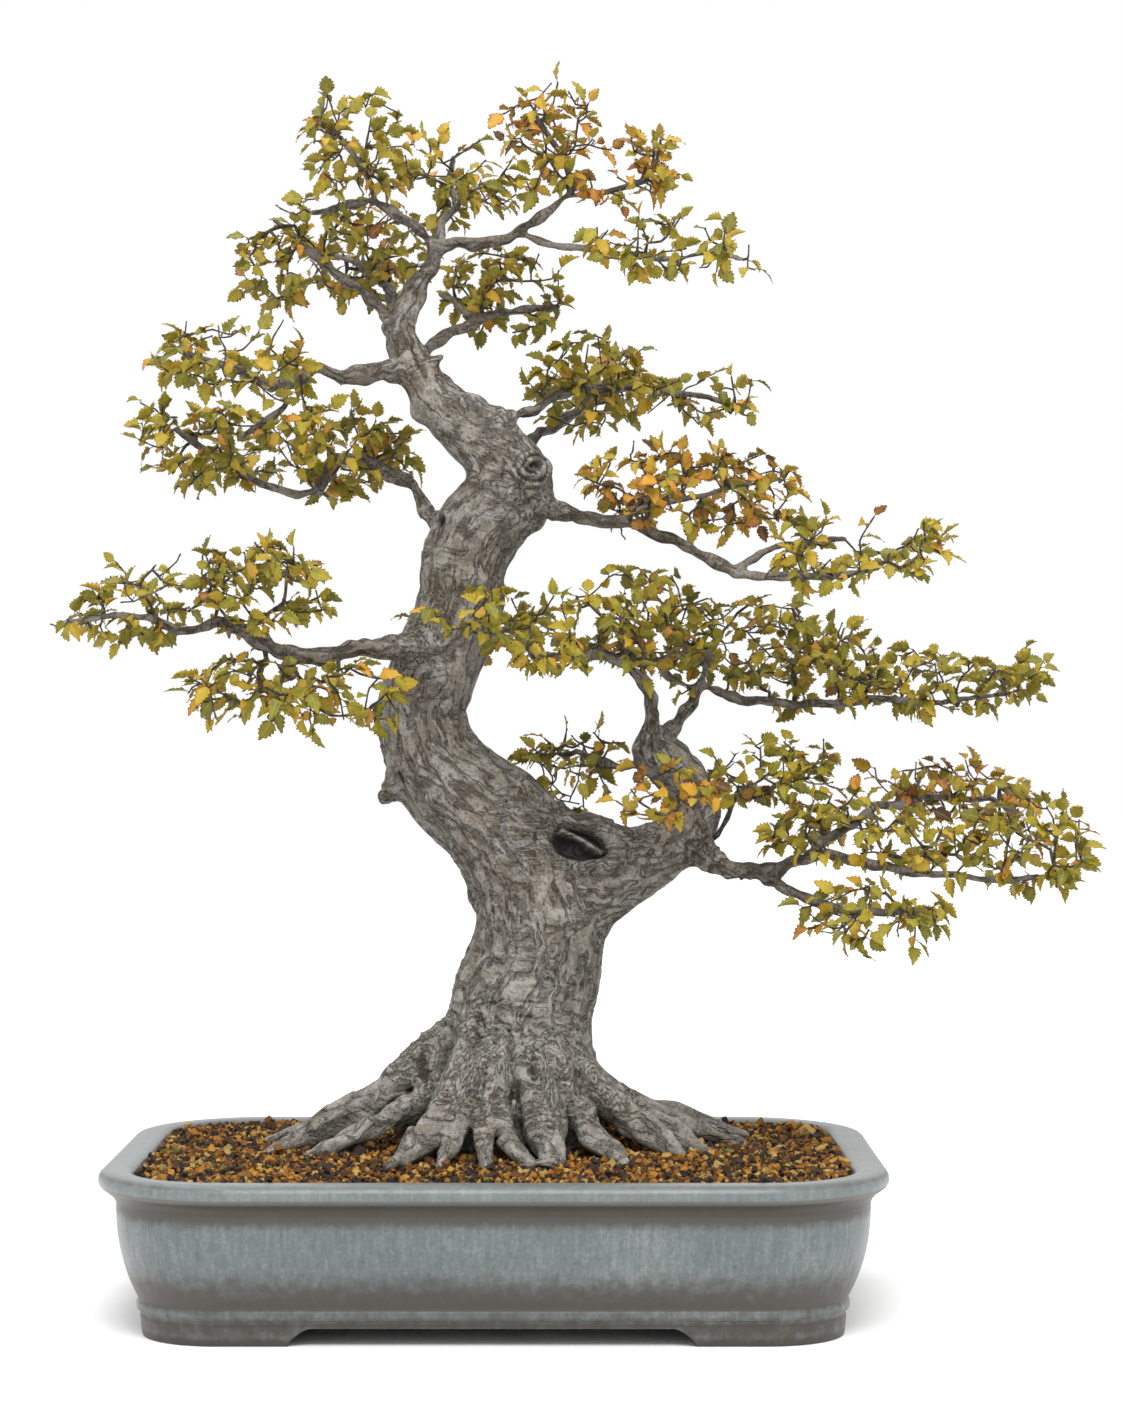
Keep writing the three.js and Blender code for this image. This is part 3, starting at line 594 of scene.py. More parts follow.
@dataclass(frozen=True)
class Bark:
    """Grey bark with pale plates, brown seams and a little algae near the soil, with painted shade in its
    creases, holes and hollows and painted highlights where it bulges.

    Attributes:
        name: The material's name.
        plate: The bark's own grey.
        pale: Its lightest colour: weather-worn patches and painted highlights where the bark bulges.
        seam_and_shade: The dark of its seams, and the painted shade in its creases.
        warm: The brown that it turns to in patches.
        algae: The yellow green near the soil.
        hollow: The painted shade inside holes and hollows.
        slender: The brown grey of thin limbs.
        damp_height: How high the soil's damp colours it.
        flare_low: How high the paler bark of the root flare reaches.
        flare_high: Where it has faded out.
    """

    name: str
    plate: tuple = tint(119, 111, 98)
    pale: tuple = tint(188, 185, 178)
    seam_and_shade: tuple = tint(42, 33, 24)
    warm: tuple = tint(118, 101, 76)
    slender: tuple = tint(106, 93, 78)
    algae: tuple = tint(112, 104, 52)
    # Painted shade inside holes and hollows.
    hollow: tuple = tint(26, 21, 17)
    damp_height: float = 0.11
    flare_low: float = 0.15
    flare_high: float = 0.27

    def material(self) -> Material:
        """The bark as a material."""
        nodes = Nodes(self.name)
        patches = nodes.clouds(38 * MM, 4)
        flecks = nodes.clouds(1.7 * MM, 4, rough=0.66)
        streaks = nodes.grown(6 * MM, 5, 4)
        furrows = nodes.grown(8 * MM, 3.5, 4).ridge()
        folds = nodes.grown(15 * MM, 0.26, 3).ridge()
        # Masks of painted shade: in the creases, and inside the holes and hollows of the scars.
        crease_shade, hollow = nodes.kept("crease_shade"), nodes.kept("hollow")
        wrinkled = nodes.clouds(30 * MM, 2).between(0.5, 0.66) * 0.7
        lines = furrows.between(0.88, 1.0) * (1 - wrinkled * 0.6) + folds.between(0.88, 1.0) * wrinkled
        colour = nodes.mix(patches.between(0.38, 0.74) * 0.6, self.plate, self.warm)
        colour = nodes.mix(nodes.kept("slim") * 0.75, colour, self.slender)
        base = 1 - nodes.height().between(self.flare_low, self.flare_high)
        # Paler bark: weather-worn flecks and streaks, the root flare, and painted highlights where the bark
        # bulges.
        light = (flecks * 0.7 + streaks * 0.4 + nodes.kept("relief") * 0.4 - 0.25).between(0.34, 0.74)
        weathered_and_highlight = light * (0.64 - nodes.kept("slim") * 0.3) + base * 0.2
        colour = nodes.mix(weathered_and_highlight.clamped(), colour, self.pale)
        # The bark's own dark lines and flecks, with painted shade in the creases laid over them.
        fine = (1 - flecks.between(0.3, 0.5)) * 0.6 + lines * 0.7
        seams = (crease_shade + fine * (1 - base * 0.1)).clamped()
        colour = nodes.mix(seams * 0.9, colour, self.seam_and_shade)
        low = 1 - nodes.height().between(self.damp_height - 0.012, self.damp_height + 0.03)
        green = (low * nodes.clouds(9 * MM, 3).between(0.52, 0.66) + crease_shade * 0.35).clamped()
        colour = nodes.mix(green * 0.28, colour, self.algae)
        # Painted shade inside the holes, the ring grooves and the long hollow of the scars.
        colour = nodes.mix(hollow, colour, self.hollow)
        rough = 0.6 + seams * 0.25
        coarse = nodes.bump(streaks * 0.5 - lines, 1.0 * MM)
        normal = nodes.bump(flecks, 0.6 * MM, coarse)
        return nodes.surface({
            "Base Color": colour, "Roughness": rough, "Normal": normal, "Specular IOR Level": 0.4,
        })


@dataclass(frozen=True)
class Leaf:
    """A leaf that turns from olive green through gold to brown.

    Attributes:
        name: The material's name.
        turned: How far the whole tree's autumn has come here.
    """

    name: str
    turned: float
    stops: tuple = (
        (0.0, tint(104, 104, 22)),
        (0.3, tint(158, 146, 32)),
        (0.52, tint(194, 166, 38)),
        (0.7, tint(214, 150, 38)),
        (0.85, tint(172, 102, 40)),
        (1.0, tint(90, 58, 36)),
    )
    vein: tuple = tint(206, 190, 84)

    def material(self) -> Material:
        """The leaf as a material."""
        nodes = Nodes(self.name)
        across, along = nodes.kept("blade_across"), nodes.kept("blade_along")
        rim = across.size()
        blotch = nodes.clouds(5 * MM, 4, rough=0.6)
        edge = (rim ** 5.0) * 0.2 + (along ** 6.0) * 0.12
        age = nodes.kept("autumn") + (blotch - 0.5) * 0.6 + edge + (self.turned - 0.5) * 0.3
        colour = nodes.ramp(age.clamped(), self.stops)
        rib = 1 - rim.between(0.03, 0.1)
        fork = (along * 7.0 - rim * 2.2).fraction()
        side_veins = (1 - (fork - 0.5).size().between(0.02, 0.16)) * (1 - rim ** 3.0)
        veins = (rib + side_veins * 0.55).clamped()
        colour = nodes.mix(veins * 0.4, colour, self.vein)
        pale_back = nodes.kept("blade_side").between(-0.2, -0.6)
        colour = nodes.mix(pale_back * 0.2, colour, tint(172, 162, 84))
        normal = nodes.bump(1 - veins, 0.12 * MM)
        return nodes.surface({
            "Base Color": colour, "Roughness": 0.46 + blotch * 0.16, "Normal": normal,
            "Specular IOR Level": 0.32,
        })


@dataclass(frozen=True)
class Granules:
    """Fired clay, pumice and bark granules, each its own colour."""

    stops: tuple = (
        (0.0, tint(24, 18, 13)),
        (0.24, tint(54, 37, 23)),
        (0.42, tint(112, 68, 16)),
        (0.62, tint(172, 110, 22)),
        (0.8, tint(208, 150, 44)),
        (0.93, tint(218, 182, 104)),
        (1.0, tint(116, 114, 34)),
    )

    def material(self) -> Material:
        """The granules as a material."""
        nodes = Nodes("granules")
        pores = nodes.clouds(0.9 * MM, 3, rough=0.7)
        tone = nodes.kept("tone")
        colour = nodes.ramp(tone, self.stops)
        dust = nodes.clouds(2.4 * MM, 3)
        colour = nodes.mix(dust.between(0.4, 0.75) * 0.2, colour, tint(120, 90, 56))
        colour = nodes.mix((1 - pores.between(0.28, 0.5)) * 0.6, colour, tint(44, 31, 22))
        normal = nodes.bump(pores, 0.3 * MM)
        return nodes.surface({"Base Color": colour, "Roughness": 0.82 + pores * 0.12, "Normal": normal})


@dataclass(frozen=True)
class MouldedMesh:
    """Dark moulded plastic mesh with dust from the soil on it."""

    def material(self) -> Material:
        """The plastic as a material."""
        nodes = Nodes("moulded_mesh")
        dust = nodes.clouds(4 * MM, 4).between(0.45, 0.7)
        colour = nodes.mix(dust * 0.4, tint(42, 46, 48), tint(92, 76, 58))
        normal = nodes.bump(nodes.clouds(0.7 * MM, 2), 0.06 * MM)
        return nodes.surface({"Base Color": colour, "Roughness": 0.45 + dust * 0.3, "Normal": normal})


@dataclass(frozen=True)
class SoftWire:
    """Annealed aluminium wire, copper brown, drawn and lightly scratched."""

    def material(self) -> Material:
        """The wire as a material."""
        nodes = Nodes("soft_wire")
        dull = nodes.clouds(3 * MM, 4)
        drawn = nodes.clouds(0.5 * MM, 3, (8, 1, 1))
        colour = nodes.mix(dull.between(0.4, 0.7), tint(150, 112, 84), tint(104, 78, 62))
        normal = nodes.bump(drawn, 0.05 * MM)
        roughness = 0.32 + dull * 0.2
        return nodes.surface({
            "Base Color": colour, "Metallic": 0.9, "Roughness": roughness, "Normal": normal,
        })


@dataclass(frozen=True)
class Paper:
    """The studio's white floor, which fades into the white behind it.

    Attributes:
        white: How much light it gives back.
        far_glow: What it gives besides where it is far away, so that no horizon shows.
    """

    white: float = 0.93
    far_glow: float = 0.22

    def material(self) -> Material:
        """The sweep as a material."""
        nodes = Nodes("sweep")
        away = nodes.number("ShaderNodeVectorMath", {"operation": "LENGTH"}, {0: nodes.places}, 1)
        glow = nodes.mix(away.between(0.6, 3.6), (0, 0, 0, 1), (self.far_glow,) * 3 + (1,))
        return nodes.surface({
            "Base Color": (self.white,) * 3 + (1,), "Roughness": 0.9, "Specular IOR Level": 0.0,
            "Emission Color": glow, "Emission Strength": 1.0,
        })


# ---------------------------------------------------------------- pot
@dataclass
class Pot:
    """The glazed pot: a rounded rectangle with a rolled lip, a cove, a bead and four bracket feet.

    Its length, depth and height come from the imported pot. The rest are the sizes it was designed with.
    """

    corner_radius: float = 84 * MM
    corner_tightening: float = 1.4
    lip_height: float = 11.5 * MM
    lip_width: float = 22 * MM
    neck_inset: float = 11 * MM
    neck_height: float = 8 * MM
    base_inset: float = 25 * MM
    wall_curve: float = 2.3
    wall: float = 10 * MM
    floor: float = 11 * MM
    band_height: float = 6 * MM
    band_bulge: float = 1.6 * MM
    band_above_foot: float = 4.5 * MM
    foot_height: float = 10 * MM
    foot_length: float = 89 * MM
    foot_reach: float = 62 * MM
    foot_thickness: float = 17 * MM
    foot_bracket: float = 12 * MM
    drain_diameter: float = 26 * MM
    drain_spacing: float = 190 * MM
    corner_steps: int = 22
    straight_steps: int = 26
    hand: Grain = Grain(120 * MM, 5)

    def __post_init__(self) -> None:
        low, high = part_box("pot")
        self.centre = (low + high) / 2
        self.half_length = (high.x - low.x) / 2
        self.half_depth = (high.y - low.y) / 2
        self.height = high.z
        self.band_top = self.foot_height + self.band_above_foot + self.band_height
        self.lip_bottom = self.height - self.lip_height
        self.wall_top = self.lip_bottom - self.neck_height

    def outline(self, inset: float, height: float) -> Array:
        """The rounded rectangle at one height.

        Args:
            inset: How far in from the lip's edge.
            height: Above the ground.

        Returns:
            Its points, anticlockwise from above.
        """
        along, deep = self.half_length - inset, self.half_depth - inset
        radius = max(self.corner_radius - self.corner_tightening * inset, 6 * MM)
        points = []
        for corner, (sx, sy) in enumerate([(1, 1), (-1, 1), (-1, -1), (1, -1)]):
            angles = (corner + np.linspace(0, 1, self.corner_steps)) * math.pi / 2
            x = sx * (along - radius) + radius * np.cos(angles)
            y = sy * (deep - radius) + radius * np.sin(angles)
            points += list(zip(x, y))
        loop = np.array(points)
        filled = []
        for start in range(4):
            arc = loop[start * self.corner_steps:(start + 1) * self.corner_steps]
            after = loop[(start + 1) * self.corner_steps % len(loop)]
            shares = np.linspace(0, 1, self.straight_steps + 1)[1:-1, None]
            filled += [arc, arc[-1] + (after - arc[-1]) * shares]
        spread = np.concatenate(filled) + (self.centre.x, self.centre.y)
        return np.column_stack([spread, np.full(len(spread), height)])

    def wall_inset(self, height: float) -> float:
        """How far in the outside of the wall stands at a height."""
        rise = min(max((height - self.band_top) / (self.wall_top - self.band_top), 0), 1)
        return self.neck_inset + (self.base_inset - self.neck_inset) * (1 - rise) ** self.wall_curve

    def profile(self) -> list[tuple[float, float, float, float]]:
        """The wall's section, from the underside over the lip to the floor.

        Returns:
            The inset and height of each point, how thin the glaze runs there and how it pools. The thin glaze
            low on the wall is partly painted shade.
        """
        base, bead = self.base_inset, self.base_inset - self.band_bulge
        foot, top = self.foot_height, self.height
        bottom, middle = self.band_top - self.band_height, self.band_top - self.band_height / 2
        section = [
            (base + 4 * MM, foot, 0.9, 0), (base + 2 * MM, foot + 0.2 * MM, 0.9, 0),
            (base + 1 * MM, foot + 1.2 * MM, 0.8, 0), (base + 0.6 * MM, bottom - 0.6 * MM, 0.45, 0),
            (base - 0.4 * MM, bottom + 0.2 * MM, 0.3, 0),
        ]
        for angle in np.radians(np.linspace(-70, 70, 7)):
            inset = bead + 1.4 * MM * (1 - math.cos(angle))
            height = middle + self.band_height / 2 * math.sin(angle)
            section.append((inset, height, 0.75 - 0.35 * math.cos(angle), 0.1))
        for rise in np.linspace(0.02, 1, 22):
            height = self.band_top + 0.3 * MM + rise * (self.wall_top - self.band_top - 0.3 * MM)
            # Low on the wall the glaze is made thin and brown: partly its own break at the foot, partly
            # painted shade.
            low = max(1 - rise / 0.46, 0) ** 0.75 + max(rise - 0.84, 0) * 6
            section.append((self.wall_inset(height), height, low, 0.15))
        lip_middle = self.lip_bottom + self.lip_height / 2
        for share in (0.2, 0.4, 0.6, 0.8, 0.94):
            ease = share * share
            height = self.wall_top + share * (self.lip_bottom - self.wall_top)
            section.append((self.neck_inset * (1 - 0.62 * ease), height, 0.85 + 0.15 * share, 0))
        for turn in np.linspace(-52, 78, 10):
            angle = math.radians(turn)
            inset = self.lip_height * 0.52 * (1 - math.cos(angle))
            height = lip_middle + self.lip_height * 0.5 * math.sin(angle)
            section.append((inset, height, 0.9 if turn < -30 else 0.12 + 0.4 * (30 < turn < 60), 0.55))
        for share in (0.4, 0.58, 0.75):
            section.append((self.lip_width * share, top, 0.15, 0.85))
        for angle in np.radians((30, 60, 90)):
            inset = self.lip_width * (0.75 + 0.25 * math.sin(angle))
            section.append((inset, top - 4.5 * MM * (1 - math.cos(angle)), 0.6, 0.3))
        floor_top = foot + self.floor
        for height in np.linspace(top - 8 * MM, floor_top + 6 * MM, 6):
            inset = max(self.wall_inset(height) + self.wall, self.lip_width)
            section.append((inset, height, 0.9, 0))
        inset = self.wall_inset(floor_top) + self.wall
        section += [(inset + 2 * MM, floor_top + 1.5 * MM, 0.9, 0), (inset + 8 * MM, floor_top, 0.9, 0)]
        return section

    def build(self) -> Object:
        """The pot's mesh, with its glaze kept for each vertex."""
        section = self.profile()
        rings = [self.outline(inset, height) for inset, height, _, _ in section]
        body = loft("pot_body", rings)
        feet = self._feet()
        self._boolean(body, feet, "UNION")
        for side in (-0.5, 0.5):
            bore = self._bore(self.centre.x + side * self.drain_spacing)
            self._boolean(body, bore, "DIFFERENCE")
        mesh = body.data
        mesh.set_sharp_from_angle(angle=math.radians(42))
        points, _ = mesh_arrays(body)
        self._keep_glaze(body, points.astype(float), section)
        wobble = self.hand.at(points) * 0.5 * MM * smooth_step(0, 12 * MM, points[:, 2])
        outward = unit((points - np.array([self.centre.x, self.centre.y, 0])) * (1, 1, 0))
        mesh.vertices.foreach_set("co", (points + outward * wobble[:, None]).astype(np.float32).ravel())
        mesh.update()
        return body

    def _keep_glaze(self, body: Object, points: Array, section: list) -> None:
        """Keeps how thin and how pooled the glaze is for each vertex; the thin glaze low on the wall is
        partly painted shade.
        """
        table = np.array(section)
        outside = table[: int(np.argmax(table[:, 1] >= self.height - 1e-6)) + 3]
        thin = np.interp(points[:, 2], outside[:, 1], outside[:, 2])
        pooled = np.interp(points[:, 2], outside[:, 1], outside[:, 3])
        thin = np.where(points[:, 2] < self.foot_height + 0.5 * MM, 0.55, thin)
        sole = 1 - smooth_step(0.3 * MM, 2.2 * MM, points[:, 2])
        store(body, "thin_glaze_and_shade", np.maximum(thin, sole))
        store(body, "pooled_glaze", pooled)

    def _bar(self, half_span: float, length: float, along_x: bool) -> Object:
        """The space between two feet, from the front to the back or from side to side."""
        toe, top = self.foot_height * 0.1, self.foot_height
        start = np.array([-half_span, toe])
        bend = np.array([-half_span + self.foot_bracket * 0.45, top * 0.75])
        end = np.array([-half_span + self.foot_bracket, top])
        shares = np.linspace(0, 1, 9)[:, None]
        curve = (1 - shares) ** 2 * start + 2 * shares * (1 - shares) * bend + shares**2 * end
        left = np.concatenate([[[-half_span, -2 * MM]], curve])
        half = np.concatenate([left, (left * (-1, 1))[::-1]])[::-1]
        rings = []
        for side in (-0.5, 0.5):
            across = np.full(len(half), side * length)
            columns = [across, half[:, 0], half[:, 1]] if along_x else [half[:, 0], -across, half[:, 1]]
            rings.append(np.column_stack(columns) + (self.centre.x, self.centre.y, 0))
        return loft("foot_space", rings)

    def _feet(self) -> Object:
        """The four bracket feet, with softened edges."""
        outer = [(2 * MM, 0.0), (1.2 * MM, 5 * MM), (0.8 * MM, self.foot_height + 1.5 * MM)]
        inner = self.base_inset + self.foot_thickness
        feet = loft("feet", [self.outline(self.base_inset + back, z) for back, z in outer])
        core = loft("core", [self.outline(inner, z) for z in (-1 * MM, self.foot_height)])
        self._boolean(feet, core, "DIFFERENCE")
        front = self.half_length - self.base_inset - self.foot_length
        side = self.half_depth - self.base_inset - self.foot_reach
        self._boolean(feet, self._bar(front, self.half_depth * 2.4, False), "DIFFERENCE")
        self._boolean(feet, self._bar(side, self.half_length * 2.4, True), "DIFFERENCE")
        soften = feet.modifiers.new("soften", "BEVEL")
        soften.width = 0.9 * MM
        soften.segments = 3
        soften.limit_method = "ANGLE"
        soften.angle_limit = math.radians(50)
        self._apply(feet)
        return feet

    def _bore(self, x: float) -> Object:
        """What one drain hole takes away."""
        turns = np.arange(48) * 2 * math.pi / 48
        ring = np.column_stack([np.cos(turns), np.sin(turns), np.zeros(48)]) * self.drain_diameter / 2
        heights = (-1 * MM, self.foot_height + self.floor + 20 * MM)
        return loft("bore", [ring + (x, self.centre.y, height) for height in heights])

    def _boolean(self, body: Object, tool: Object, way: str) -> None:
        """Joins a tool to a body or cuts it away, and removes the tool."""
        modifier = body.modifiers.new("boolean", "BOOLEAN")
        modifier.operation = way
        modifier.solver = "EXACT"
        modifier.object = tool
        self._apply(body)
        bpy.data.objects.remove(tool)

    @staticmethod
    def _apply(piece: Object) -> None:
        """Makes a piece's modifiers part of its mesh."""
        graph = bpy.context.evaluated_depsgraph_get()
        mesh = bpy.data.meshes.new_from_object(piece.evaluated_get(graph))
        piece.modifiers.clear()
        piece.data = mesh


# ---------------------------------------------------------------- soil
@dataclass
class SoilBed:
    """The soil's body with a bed of loose granules over it.

    Attributes:
        pot: The pot that it fills.
        granules: How many lie on top.
        seed: Which scatter this is.
    """

    pot: Pot
    granules: int = 13500
    seed: int = 11
    below_rim: float = 2 * MM
    mound: float = 5 * MM

    def build(self) -> Object:
        """The bed and its granules as one object, with each granule's tone and the bed's near black painted
        shade.
        """
        draw = np.random.default_rng(self.seed)
        pot = self.pot
        low = pot.foot_height + pot.floor + 0.4 * MM
        top = pot.height - self.below_rim
        rings, inset = [], pot.lip_width + 0.4 * MM
        for height in (low, low + 8 * MM, top - 3 * MM):
            lean = max(pot.wall_inset(height) + pot.wall, pot.lip_width) + 0.4 * MM
            rings.append(pot.outline(lean, height))
        edge = pot.outline(inset, top - 1.2 * MM)
        middle = np.array([pot.centre.x, pot.centre.y, 0])
        for inward in np.linspace(0, 0.97, 40):
            ring = (edge - middle) * (1 - inward, 1 - inward, 1) + middle
            ring[:, 2] = self.surface(ring) - 1.3 * MM
            rings.append(ring)
        points, faces = np.concatenate(rings), loft_faces(rings)
        # The bed under the granules takes the ramp's darkest tones: painted shade in the gaps between
        # granules.
        shaded_bed_tone = 0.08 + 0.08 * Grain(3 * MM, 3).at(points)
        grain_points, grain_faces, grain_tone = self._scatter(draw)
        everything = np.concatenate([points, grain_points])
        piece = make_piece("soil_and_granules", everything, [*faces, grain_faces + len(points)])
        smooth = np.arange(len(piece.data.polygons)) < sum(map(len, faces))
        piece.data.polygons.foreach_set("use_smooth", smooth)
        store(piece, "tone", np.concatenate([shaded_bed_tone, grain_tone]))
        return piece

    def surface(self, points: Array) -> Array:
        """The soil's height under each point.

        Args:
            points: Places seen from above.

        Returns:
            The heights.
        """
        pot = self.pot
        reach = np.array([pot.half_length - pot.lip_width, pot.half_depth - pot.lip_width])
        share = np.abs((points[:, :2] - (pot.centre.x, pot.centre.y)) / reach)
        out = (share[:, 0] ** 3 + share[:, 1] ** 3) ** (1 / 3)
        flat = np.column_stack([points[:, :2], np.zeros(len(points))])
        lumps = Grain(22 * MM, 8).at(flat) * 1.0 * MM + Grain(7 * MM, 9).at(flat) * 0.6 * MM
        return pot.height - self.below_rim + self.mound * (1 - smooth_step(0.35, 1.0, out)) + lumps

    def _scatter(self, draw: Generator) -> tuple[Array, Array, Array]:
        """Granules laid over the bed.

        Args:
            draw: The random numbers.

        Returns:
            Their points, faces and tones.
        """
        pot = self.pot
        rim = pot.outline(pot.lip_width + 1.2 * MM, 0)[:, :2]
        low, high = rim.min(0), rim.max(0)
        radius = pot.corner_radius - pot.corner_tightening * pot.lip_width
        spots = draw.uniform(low, high, (self.granules * 2, 2))
        corner = np.abs(spots - (low + high) / 2) - (high - low) / 2 + radius
        spots = spots[np.linalg.norm(np.maximum(corner, 0), axis=1) < radius - 0.5 * MM][: self.granules]
        count = len(spots)
        sizes = draw.lognormal(0, 0.34, count) * 1.6 * MM
        ground = self.surface(np.column_stack([spots, np.zeros(count)]))
        heights = ground + sizes * draw.uniform(-0.6, 0.75, count)
        shape = np.array([[-1, -1, -1], [1, -1, -1], [1, 1, -1], [-1, 1, -1],
                          [-1, -1, 1], [1, -1, 1], [1, 1, 1], [-1, 1, 1]]) * 0.62
        faces = np.array([[0, 3, 2, 1], [4, 5, 6, 7], [0, 1, 5, 4], [1, 2, 6, 5], [2, 3, 7, 6], [3, 0, 4, 7]])
        bodies = shape[None] * draw.uniform(0.62, 1.25, (count, 8, 3))
        bodies = bodies * draw.uniform(0.7, 1.25, (count, 1, 3)) * sizes[:, None, None]
        spin = self._turns(draw, count)
        bodies = np.einsum("nij,nkj->nki", spin, bodies)
        centres = np.column_stack([spots, heights])
        points = (bodies + centres[:, None]).reshape(-1, 3)
        stacked = (faces[None] + 8 * np.arange(count)[:, None, None]).reshape(-1, 4)
        split = np.concatenate([stacked[:, [0, 1, 2]], stacked[:, [0, 2, 3]]])
        tone = np.clip(draw.beta(1.15, 1.35, count), 0, 0.96)
        moss = (Grain(30 * MM, 21).at(centres * (1, 1, 0)) > 0.35) & (draw.random(count) < 0.05)
        tone = np.where(moss, 1.0, tone)
        return points, split, np.repeat(tone, 8)

    @staticmethod
    def _turns(draw: Generator, count: int) -> Array:
        """Random turns, one matrix to a granule."""
        q = unit(draw.normal(size=(count, 4)))
        w, x, y, z = q.T
        rows = [
            [1 - 2 * (y * y + z * z), 2 * (x * y - z * w), 2 * (x * z + y * w)],
            [2 * (x * y + z * w), 1 - 2 * (x * x + z * z), 2 * (y * z - x * w)],
            [2 * (x * z - y * w), 2 * (y * z + x * w), 1 - 2 * (x * x + y * y)],
        ]
        return np.array(rows).transpose(2, 0, 1)


# ---------------------------------------------------------------- wood
class Mark(Enum):
    """What a scar on the trunk looks like."""

    RINGED = "a healed cut with rings round a dark eye"
    HOLE = "a small dark hole"
    DENT = "a soft fold with no hole in it"
    BURL = "a swelling"
    HOLLOW = "a long hollow in bare wood with a rolled edge"


@dataclass(frozen=True)
class Scar:
    """A mark on the side of the trunk that faces the viewer.

    Attributes:
        kind: What it looks like.
        across: Its place, right of the pot's middle.
        height: Its height above the ground.
        wide: Its width.
        tall: Its height from end to end.
        lean: How far its long side leans, in degrees.
        back: Whether it is on the far side of the trunk.
    """

    kind: Mark
    across: float
    height: float
    wide: float
    tall: float
    lean: float = 0.0
    back: bool = False

    def shape(self, across: Array, up: Array, out: Array) -> tuple[Array, Array]:
        """How far the scar lifts the bark, as a share of its smaller size, and how dark it is painted: mostly
        painted shade in its pits, grooves and hollow.

        Args:
            across: Each point's place across the scar, which ends at 1.
            up: Its place along the scar, which ends at 1.
            out: How far out it lies, 1 on the ragged edge.

        Returns:
            The lift and the darkness, which is mostly painted shade.
        """
        def within(full: float, none: float) -> Array:
            """A share that is 1 up to full and fades to 0 at none."""
            return 1 - smooth_step(full, none, out)

        if self.kind is Mark.BURL:
            return 0.3 * within(0, 1.5), np.zeros(len(out))
        if self.kind is Mark.DENT:
            return -0.3 * within(0, 1.3), np.zeros(len(out))
        if self.kind is Mark.RINGED:
            rings = np.cos(out * 13 + 0.7 * np.arctan2(up, across)) * within(0.9, 1.4)
            lift = 0.26 * within(0.5, 1.5) + 0.065 * rings - 0.1 * (out < 0.2)
            # Painted shade in the eye and in the grooves between the rings.
            return lift, 0.85 * within(0.1, 0.26) + 0.7 * smooth_step(0.3, 0.9, -rings)
        if self.kind is Mark.HOLE:
            # Painted shade inside the hole.
            return 0.1 * bell(out, 1.25, 0.3) - 0.5 * within(0.4, 1.0), within(0.5, 0.95)
        rim = bell(out, 1.2, 0.25)
        sliver = bell(across, -0.15, 0.2) * (np.abs(up) < 0.7)
        # Painted shade inside the hollow, less on the sliver of wood in it, and its rolled rim painted a
        # little darker.
        lift = 0.13 * rim - 0.5 * within(0.5, 1.0) * (1 - 0.6 * sliver)
        return lift, within(0.55, 0.95) * (1 - 0.85 * sliver) + 0.35 * rim


@dataclass(frozen=True)
class Spur:
    """A stump or shoulder of old wood on the side of the trunk that faces the viewer.

    Attributes:
        across: Where it starts, right of the pot's middle.
        height: Where it starts, above the ground.
        run: How far it reaches to the right.
        rise: How far it climbs.
        radii: Its radius at its start, its middle and its end.
        sunk: How deep its middle lies behind the trunk's face.
    """

    across: float
    height: float
    run: float
    rise: float
    radii: tuple[float, float, float]
    sunk: float

    def route(self, wood: Solid, pot: Pot) -> tuple[Array, Array]:
        """The spur's middle line and its radius along it.

        Args:
            wood: The wood that it stands on.
            pot: The pot.

        Returns:
            The points and the radii.
        """
        x = pot.centre.x + self.across
        hit, _, _, _ = wood.tree.ray_cast(Vector((x, pot.centre.y - 0.4, self.height)), Vector((0, 1, 0)))
        shares = np.linspace(0, 1, 9)
        y = (hit.y if hit else pot.centre.y) + self.sunk
        route = np.column_stack([x + self.run * shares, np.full(9, y), self.height + self.rise * shares])
        return route, np.interp(shares, (0, 0.5, 1), self.radii)


